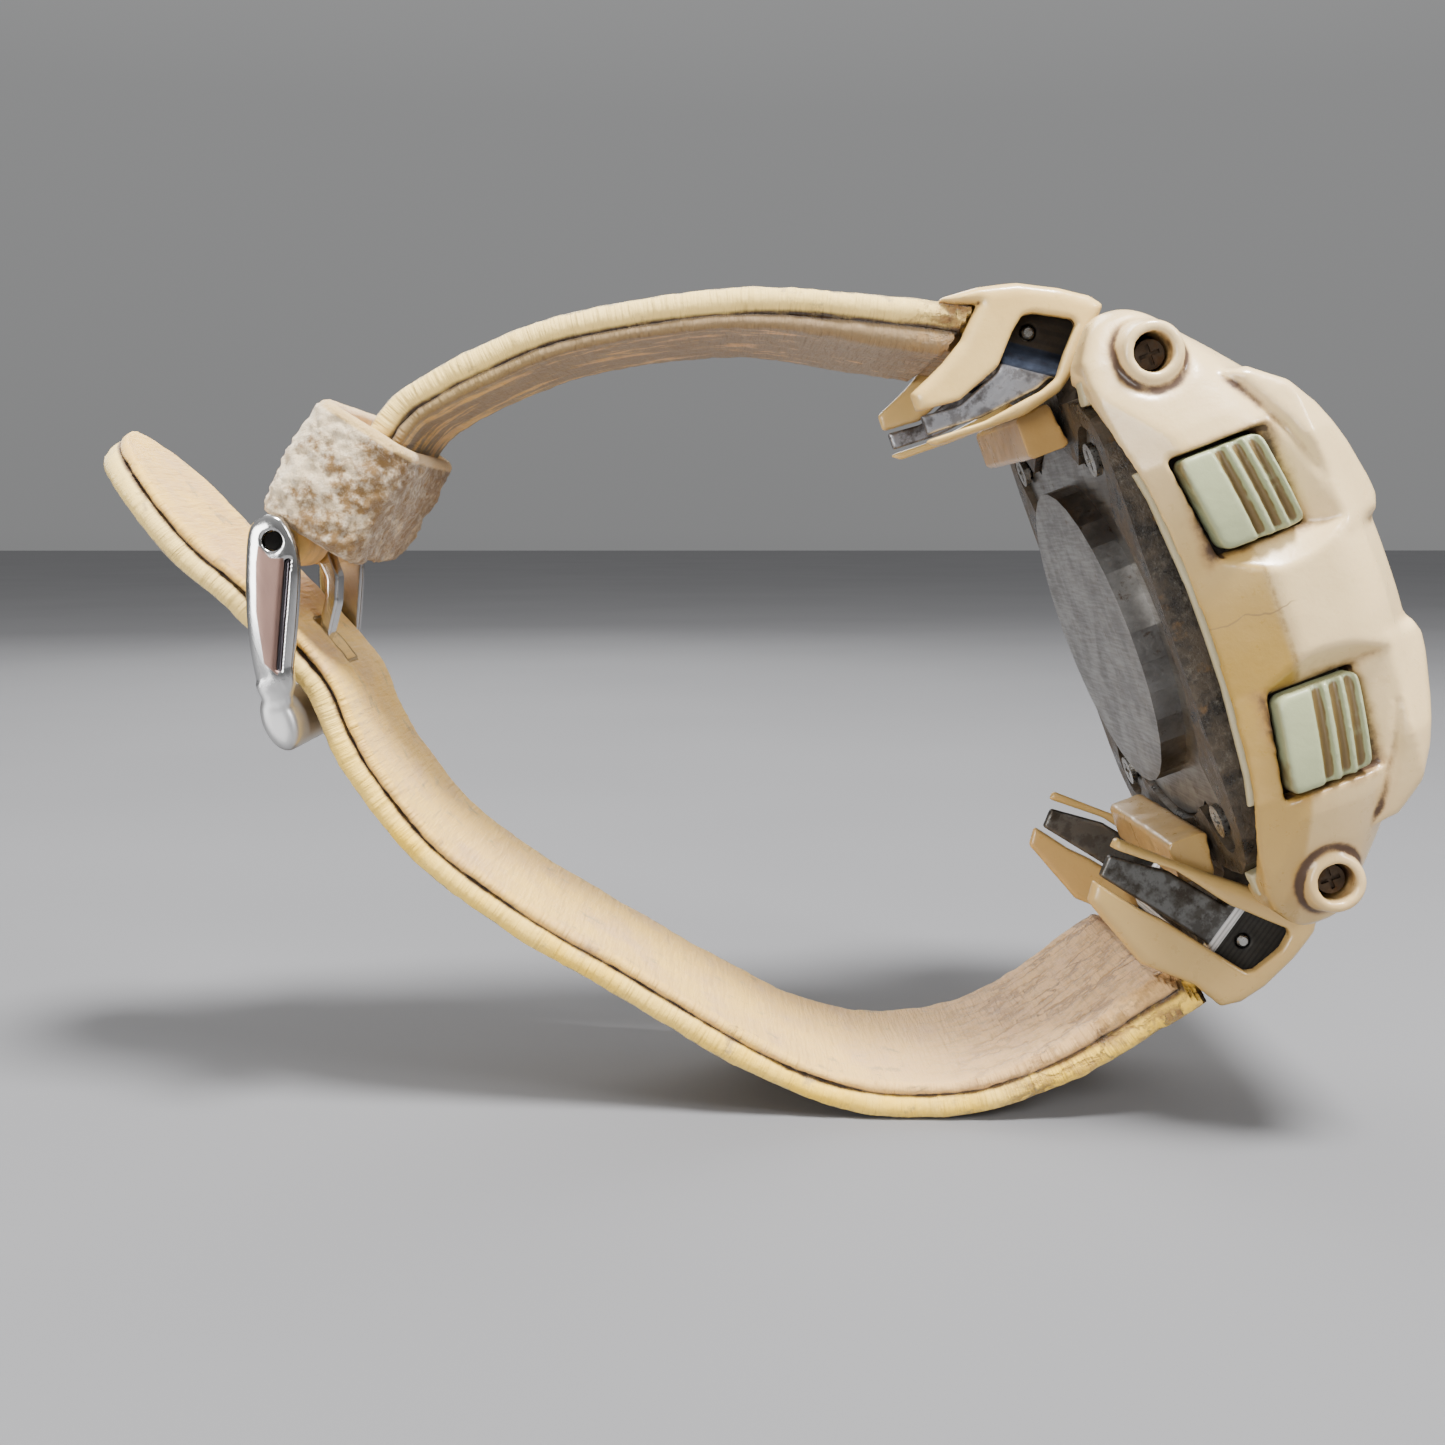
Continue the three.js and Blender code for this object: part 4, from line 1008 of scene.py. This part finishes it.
def strap_section(half, thick):
    """The section as (across, depth from the outside, edge share), all round."""
    roll = leather_depth(thick) / 2
    lining = (thick - leather_depth(thick)) / 2
    inset = 0.3
    points = []
    for w in np.linspace(0, half - roll, 14):
        points.append((w, 0.16 * (w / half) ** 4, 0.0 if w < half - roll - 0.8 else 0.5))
    for a in np.radians(np.linspace(-80, 100, 10)):
        points.append((half - roll + roll * math.cos(a), roll + roll * math.sin(a), 1.0))
    points.append((half - roll - 0.45, leather_depth(thick), 1.0))
    centre = half - inset - lining
    for a in np.radians(np.linspace(-70, 90, 7)):
        points.append((centre + lining * math.cos(a), thick - lining + lining * math.sin(a), 1.0))
    for w in np.linspace(centre, 0, 14)[1:]:
        points.append((w, thick, 0.0))
    return points + [(-w, d, e) for w, d, e in reversed(points[1:-1])]


def tip_share(left):
    """How much of its width the tail keeps at a distance from its tip."""
    return max(math.sqrt(max(1 - (1 - min(left / TIP_LENGTH, 1)) ** 2.4, 0.004)), 0.12)


def strap(name, line, samples, outside, shoulder, shade, lug_reach, seed):
    """Sweeps a strap's section along its centre line. Outside is the side of the line that faces out.

    The shoulder is where the narrow part in the cover ends: (at the outside, further per mm of depth).
    The lug end is cracked up to lug_reach, and shade is how dirty the lining is."""
    path, length = spline(line, samples)
    tangents = np.gradient(path, axis=0)
    tangents /= np.linalg.norm(tangents, axis=1)[:, None]
    points, marks, rows = [], [], []
    for (x, z), (tx, tz), along in zip(path, tangents, np.linspace(0, length, samples)):
        thick = np.interp(x, [-22, -6], [3.0, 4.2])
        half = np.interp(x, [-50, -10], [10.1, 12.3])
        if line is LOWER_LINE:
            half *= tip_share(length - along)
        section = strap_section(half, thick)
        rows.append(list(range(len(points), len(points) + len(section))))
        for w, d, e in section:
            out = (thick / 2 - d) * outside
            if along < shoulder[0] + shoulder[1] * d:
                w = max(-TENON_HALF, min(TENON_HALF, w))
                out *= TENON_SHARE
            points.append((x + tz * out, w, z - tx * out))
            marks.append((along, w, np.interp(d, [0, leather_depth(thick), thick], [0, 0.6, 1]), e))
    obj = outward(new_object(name, points, ring_faces(rows) + [tuple(rows[0]), tuple(rows[-1])]))
    marks = np.array(marks)
    for column, key in enumerate(("along", "across", "depth", "edge")):
        store(obj.data, key, marks[:, column])
    along, edge = marks[:, 0], marks[:, 3]
    store(obj.data, "lug", np.interp(along, [lug_reach * 0.5, lug_reach], [1, 0]))
    store(obj.data, "shade", shade * np.interp(along, [0, 60], [1, 0.75]))
    layers = [(5, 0.10, seed), (1.4, 0.07, seed + 1), (0.5, 0.05, seed + 2)]
    roughened(obj, layers, np.where(edge > 0.5, 1.0, 0.7))
    return obj


upper_strap = strap("upper_strap_leather", UPPER_LINE, 190, 1, (2.0, 0.42), 1.3, 8, 21)
cut(upper_strap, prism([(-66, 29), (-58.2, 29), (-58.2, 38), (-66, 38)], 1.7))
finished(upper_strap, "upper_strap_leather", "root", "leather", ["upper_strap"])
lower_strap = strap("lower_strap_leather", LOWER_LINE, 330, -1, (0.3, 0.55), 0.25, 26, 24)
cut(lower_strap, prism([(-66.8, 26.3), (-60.2, 26.3), (-60.2, 22), (-66.8, 22)], 1.6))
finished(lower_strap, "lower_strap_leather", None, "leather", ["lower_strap", "strap_tail"])
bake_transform(lower_strap)


def strap_loops():
    """The upper strap's end is folded round the spring bar, on both sides of the tongue."""
    for name, low, high in (("near", -10.1, -1.75), ("far", 1.75, 10.1)):
        profile = [(low, 1.15), (low + 0.2, 2.05), (low + 0.5, 2.2)]
        profile += [(high - 0.5, 2.2), (high - 0.2, 2.05), (high, 1.15)]
        loop = lathe(BAR["x"], BAR["z"], profile, 48)
        roughened(loop, [(1.2, 0.06, 31)])
        for key, value in {"edge": 0.0, "depth": 0.62, "shade": 0.9}.items():
            store(loop.data, key, np.full(len(loop.data.vertices), value))
        finished(loop, f"strap_loop_{name}", "root", "leather")


strap_loops()


# ------------------------------------------------------------------ keeper
def keeper():
    """A fluffy suede sleeve round both layers, with a smooth rim on the side towards the lug."""
    out = Vector((-0.6, 0, 0.8))
    lug = Vector((0.8, 0, 0.6))
    centre = Vector((KEEPER["x"], 0, KEEPER["z"]))
    middle = (KEEPER["outer"] + KEEPER["inner"]) / 2
    tall = (KEEPER["outer"] - KEEPER["inner"]) / 2
    rows, points, rim = [], [], []
    lengths = np.linspace(-KEEPER["length"] / 2, KEEPER["length"] / 2, 52)
    walls = [(0.0, s) for s in lengths] + [(KEEPER["wall"], s) for s in reversed(lengths)]
    for inset, s in walls:
        edge = min(KEEPER["length"] / 2 - abs(s), 0.5) / 0.5
        tuck = inset + 0.35 * (1 - edge) ** 2 * (-1 if inset else 1)
        bulge = 0.0 if inset else 0.35 * math.cos(math.pi * s / KEEPER["length"])
        section = resampled(rounded_box(KEEPER["half_y"] - tuck, tall - tuck, KEEPER["corner"] - inset), 260)
        rows.append(list(range(len(points), len(points) + len(section))))
        for w, h in section:
            grow = 1 + bulge / 6 if abs(h) > 2 else 1
            points.append(tuple(centre + Vector((0, w, 0)) + out * (middle + h * grow) + lug * s))
            rim.append(1.0 if inset or s > KEEPER["length"] / 2 - 0.75 else 0.0)
    obj = outward(new_object("keeper", points, ring_faces(rows + rows[:1])))
    rim = np.array(rim)
    store(obj.data, "rim", rim)
    roughened(obj, [(2.2, 0.22, 41), (0.8, 0.22, 42), (0.4, 0.16, 43)], np.where(rim > 0.5, 0.12, 1.0))
    finished(obj, "keeper_loop", "keeper", "suede", ["strap_keeper"])


keeper()


# ------------------------------------------------------------------ buckle
def buckle():
    """Two leaf-shaped arms and an oval front bar, polished, with a line cut along each arm's wrist side."""
    start = (-60.9, 34.9)
    arm = [
        start, (-62.2, 34.7), (-63.1, 33.8), (-64.7, 30.4), (-66.1, 26.5), (-66.9, 23.0), (-66.9, 21.4),
        (-64.6, 21.2), (-63.7, 23.0), (-61.9, 26.4), (-60.2, 30.0), (-59.7, 32.2), (-60.0, 34.2), start,
    ]
    clay = Clay((-69, -14, 15.5), (-58.5, 14, 36), 0.15)
    level = np.abs(clay.y)
    leaf = [
        (-61.9, 31.6), (-60.9, 31.2), (-62.0, 28.6), (-63.9, 24.6), (-65.0, 22.6), (-65.7, 24.0),
        (-64.7, 28.0), (-63.2, 31.6), (-62.4, 33.0),
    ]
    arm = outline_distance(spline(arm, 60)[0][:-1].tolist(), clay.x, clay.z)
    crown = level - ARM_HALF_Y + 0.15 * np.maximum(arm + 1.4, 0) ** 2
    arms = shared(shared(arm, crown, 0.2), ARM_INSIDE_Y - level, 0.25)
    turns = np.linspace(0, 2 * math.pi, 40, endpoint=False)
    oval = [(FRONT_BAR["x"] + 1.45 * math.cos(a), FRONT_BAR["z"] + 2.5 * math.sin(a)) for a in turns]
    bar = shared(outline_distance(oval, clay.x, clay.z), level - 12.9, 0.9)
    neck = clay.prism("Y", [(-67.1, 22.6), (-64.0, 22.6), (-65.0, 20.2), (-66.6, 20.4)])
    neck = shared(neck, np.abs(level - 12.25) - 0.5, 0.3)
    body = joined(joined(arms, bar, 0.4), neck, 0.4)
    body = carved(body, clay.rod("Y", BAR["x"], BAR["z"], 0.8), 0.15)
    line = [(-60.5, 31.0), (-60.95, 31.1), (-65.0, 23.2), (-64.7, 22.9)]
    body = carved(body, np.maximum(outline_distance(line, clay.x, clay.z), ARM_LINE_Y - level), 0.1)
    frame_body = clay.skin(body, "buckle")
    measure_hollows(frame_body, rounds=8, depth=0.03)
    points = coordinates(frame_body.data) / MM
    inner_edge = outline_distance(leaf, points[:, 0], points[:, 2])
    store(frame_body.data, "panel", np.clip(-inner_edge / 0.12, -1, 1) * (np.abs(points[:, 1]) > ARM_LINE_Y))
    finished(frame_body, "buckle_arms", "buckle", "buckle", ["buckle_frame"])


buckle()
tongue = moulded("buckle_tongue", 0.14, 4)
finished(tongue, "tongue_blade", "tongue", "polished", ["buckle_tongue"])


# ------------------------------------------------------------------ display
# each segment's centre (across, up), in halves of a digit's width and height
SEGMENTS = {
    "a": (0, 1), "b": (1, 0.5), "c": (1, -0.5), "d": (0, -1), "e": (-1, -0.5), "f": (-1, 0.5), "g": (0, 0),
}
LIT = {"0": "abcdef", "1": "bc", "2": "abged", "3": "abgcd", "4": "fgbc", "8": "abcdefg"}


def display_digits():
    """Two generic rows of seven-segment digits, just in front of the liquid crystal panel."""
    bars = []
    for text, left, middle, height in (("18.4", -5.6, 2.0, 5.4), ("0:32", -4.2, -4.3, 3.2)):
        wide, thin = height * 0.27, height * 0.06
        for sign in text:
            if sign in ".:":
                dots = (-height / 2,) if sign == "." else (-0.6, 0.6)
                bars += [(left, middle + z, thin, thin) for z in dots]
                left += height * 0.3
                continue
            for across, up in (SEGMENTS[key] for key in LIT[sign]):
                size = (thin, height / 4 - thin * 1.5) if across else (wide - thin, thin)
                bars.append((left + wide * (1 + across), middle + height / 2 * up, *size))
            left += height * 0.82
    points, faces = [], []
    for y, z, half_y, half_z in bars:
        n = len(points)
        points += [(x, y + a * half_y, z + b * half_z) for x in (DIGIT_BACK, DIGIT_FACE)
                   for a, b in ((-1, -1), (1, -1), (1, 1), (-1, 1))]
        faces += [(n, n + 3, n + 2, n + 1), (n + 4, n + 5, n + 6, n + 7)]
        faces += [(n + i, n + (i + 1) % 4, n + (i + 1) % 4 + 4, n + i + 4) for i in range(4)]
    finished(outward(new_object("digits", points, faces)), "display_digits", "root", "ink")


display_digits()


# ------------------------------------------------------------------ the CAD pieces that stay
STAY = {
    "case_body": "case", "case_back": "steel", "case_back_gasket": "rubber", "piezo_sounder": "steel",
    "battery": "steel", "battery_clip": "clip", "module_holder": "white", "circuit_board": "board",
    "backlight_panel": "white", "zebra_connector_upper": "rubber", "zebra_connector_lower": "rubber",
    "lcd_panel": "lcd", "display_mask": "black", "crystal": "glass", "crystal_gasket": "rubber",
    "pressure_sensor": "steel", "sensor_cap": "screw",
    "buckle_spring_bar": "hole",
}
for place in PLACES:
    STAY |= {
        f"back_screw_{place}": "screw", f"bezel_screw_{place}": "dark_screw", f"pusher_clip_{place}": "steel",
        f"pusher_seal_{place}": "rubber", f"pusher_spring_{place}": "steel",
    }
for node, material in STAY.items():
    nodes[node].data.materials.clear()
    nodes[node].data.materials.append(M[material])


# ------------------------------------------------------------------ camera, floor and light
PHOTO_UP = Vector((0.35837, 0, 0.93358))  # straight up where the object is photographed
CAMERA_PLACE = Vector((-28.81, -143.0, 21.16)) * MM
CAMERA_RIGHT = Vector((0.93353, -0.01018, -0.35835))
CAMERA_AHEAD = Vector((-0.03261, 0.99304, -0.11315))
CAMERA_LENS = 40.4  # focal length in mm for a sensor 36 mm wide
FLOOR_SIZE = 4.0  # metres from the middle to each side
LIGHT_TARGET = Vector((-0.03, 0, 0.005))


def camera():
    data = bpy.data.cameras.new("camera")
    data.sensor_width = 36
    data.lens = CAMERA_LENS
    data.clip_start = 0.005
    obj = placed("camera", data)
    up = CAMERA_RIGHT.cross(CAMERA_AHEAD)
    turn = Matrix((CAMERA_RIGHT, up, -CAMERA_AHEAD)).transposed().to_4x4()
    obj.matrix_world = Matrix.Translation(CAMERA_PLACE) @ turn
    scene.camera = obj


def floor():
    lowest = min((coordinates(obj.data) @ np.array(PHOTO_UP)).min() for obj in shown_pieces())
    across = Vector((0, 1, 0))
    along = across.cross(PHOTO_UP).normalized()
    quarters = ((1, 1), (-1, 1), (-1, -1), (1, -1))
    corners = [PHOTO_UP * lowest + (along * a + across * b) * FLOOR_SIZE for a, b in quarters]
    mesh = bpy.data.meshes.new("floor")
    mesh.from_pydata(corners, [], [(0, 1, 2, 3)])
    s = Shader("floor_paper", Roughness=0.9)
    s.colour(s.mix(s.noise(120, 2), (0.135, 0.135, 0.14), (0.165, 0.165, 0.17)))
    mesh.materials.append(s.material)
    placed("floor", mesh)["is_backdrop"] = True


def light(name, place, size, power):
    """A round lamp at a place from the middle of the object, aimed at it."""
    data = bpy.data.lights.new(name, "AREA")
    data.shape = "DISK"
    data.size = size
    data.energy = power
    obj = placed(name, data)
    obj.location = LIGHT_TARGET + Vector(place)
    obj.rotation_mode = "QUATERNION"
    obj.rotation_quaternion = (-Vector(place)).to_track_quat("-Z", "Y")


def world():
    """A soft studio: bright overhead, mid grey around and darker below."""
    made = bpy.data.worlds.new("studio")
    scene.world = made
    made.use_nodes = True
    tree = made.node_tree
    place = tree.nodes.new("ShaderNodeTexCoord")
    height = tree.nodes.new("ShaderNodeVectorMath")
    height.operation = "DOT_PRODUCT"
    height.inputs[1].default_value = PHOTO_UP
    tree.links.new(place.outputs["Generated"], height.inputs[0])
    ramp = tree.nodes.new("ShaderNodeValToRGB")
    stops = [(0.0, 0.10), (0.42, 0.18), (0.5, 0.30), (0.62, 0.34), (0.8, 0.6), (1.0, 1.1)]
    while len(ramp.color_ramp.elements) < len(stops):
        ramp.color_ramp.elements.new(1.0)
    for element, (at, grey) in zip(ramp.color_ramp.elements, stops):
        element.position = at
        element.color = (grey, grey * 1.005, grey * 1.015, 1)
    shift = tree.nodes.new("ShaderNodeMapRange")
    shift.inputs["From Min"].default_value = -1
    tree.links.new(height.outputs["Value"], shift.inputs["Value"])
    tree.links.new(shift.outputs["Result"], ramp.inputs["Fac"])
    back = tree.nodes["Background"]
    tree.links.new(ramp.outputs["Color"], back.inputs["Color"])
    back.inputs["Strength"].default_value = 0.8


camera()
world()
floor()
light("key", (0.30, -0.16, 0.46), 0.16, 12)
light("side", (0.50, -0.32, 0.16), 0.16, 2.2)
light("fill", (-0.30, -0.50, 0.20), 0.35, 3.6)
light("behind", (0.0, 0.45, 0.35), 0.40, 2.5)
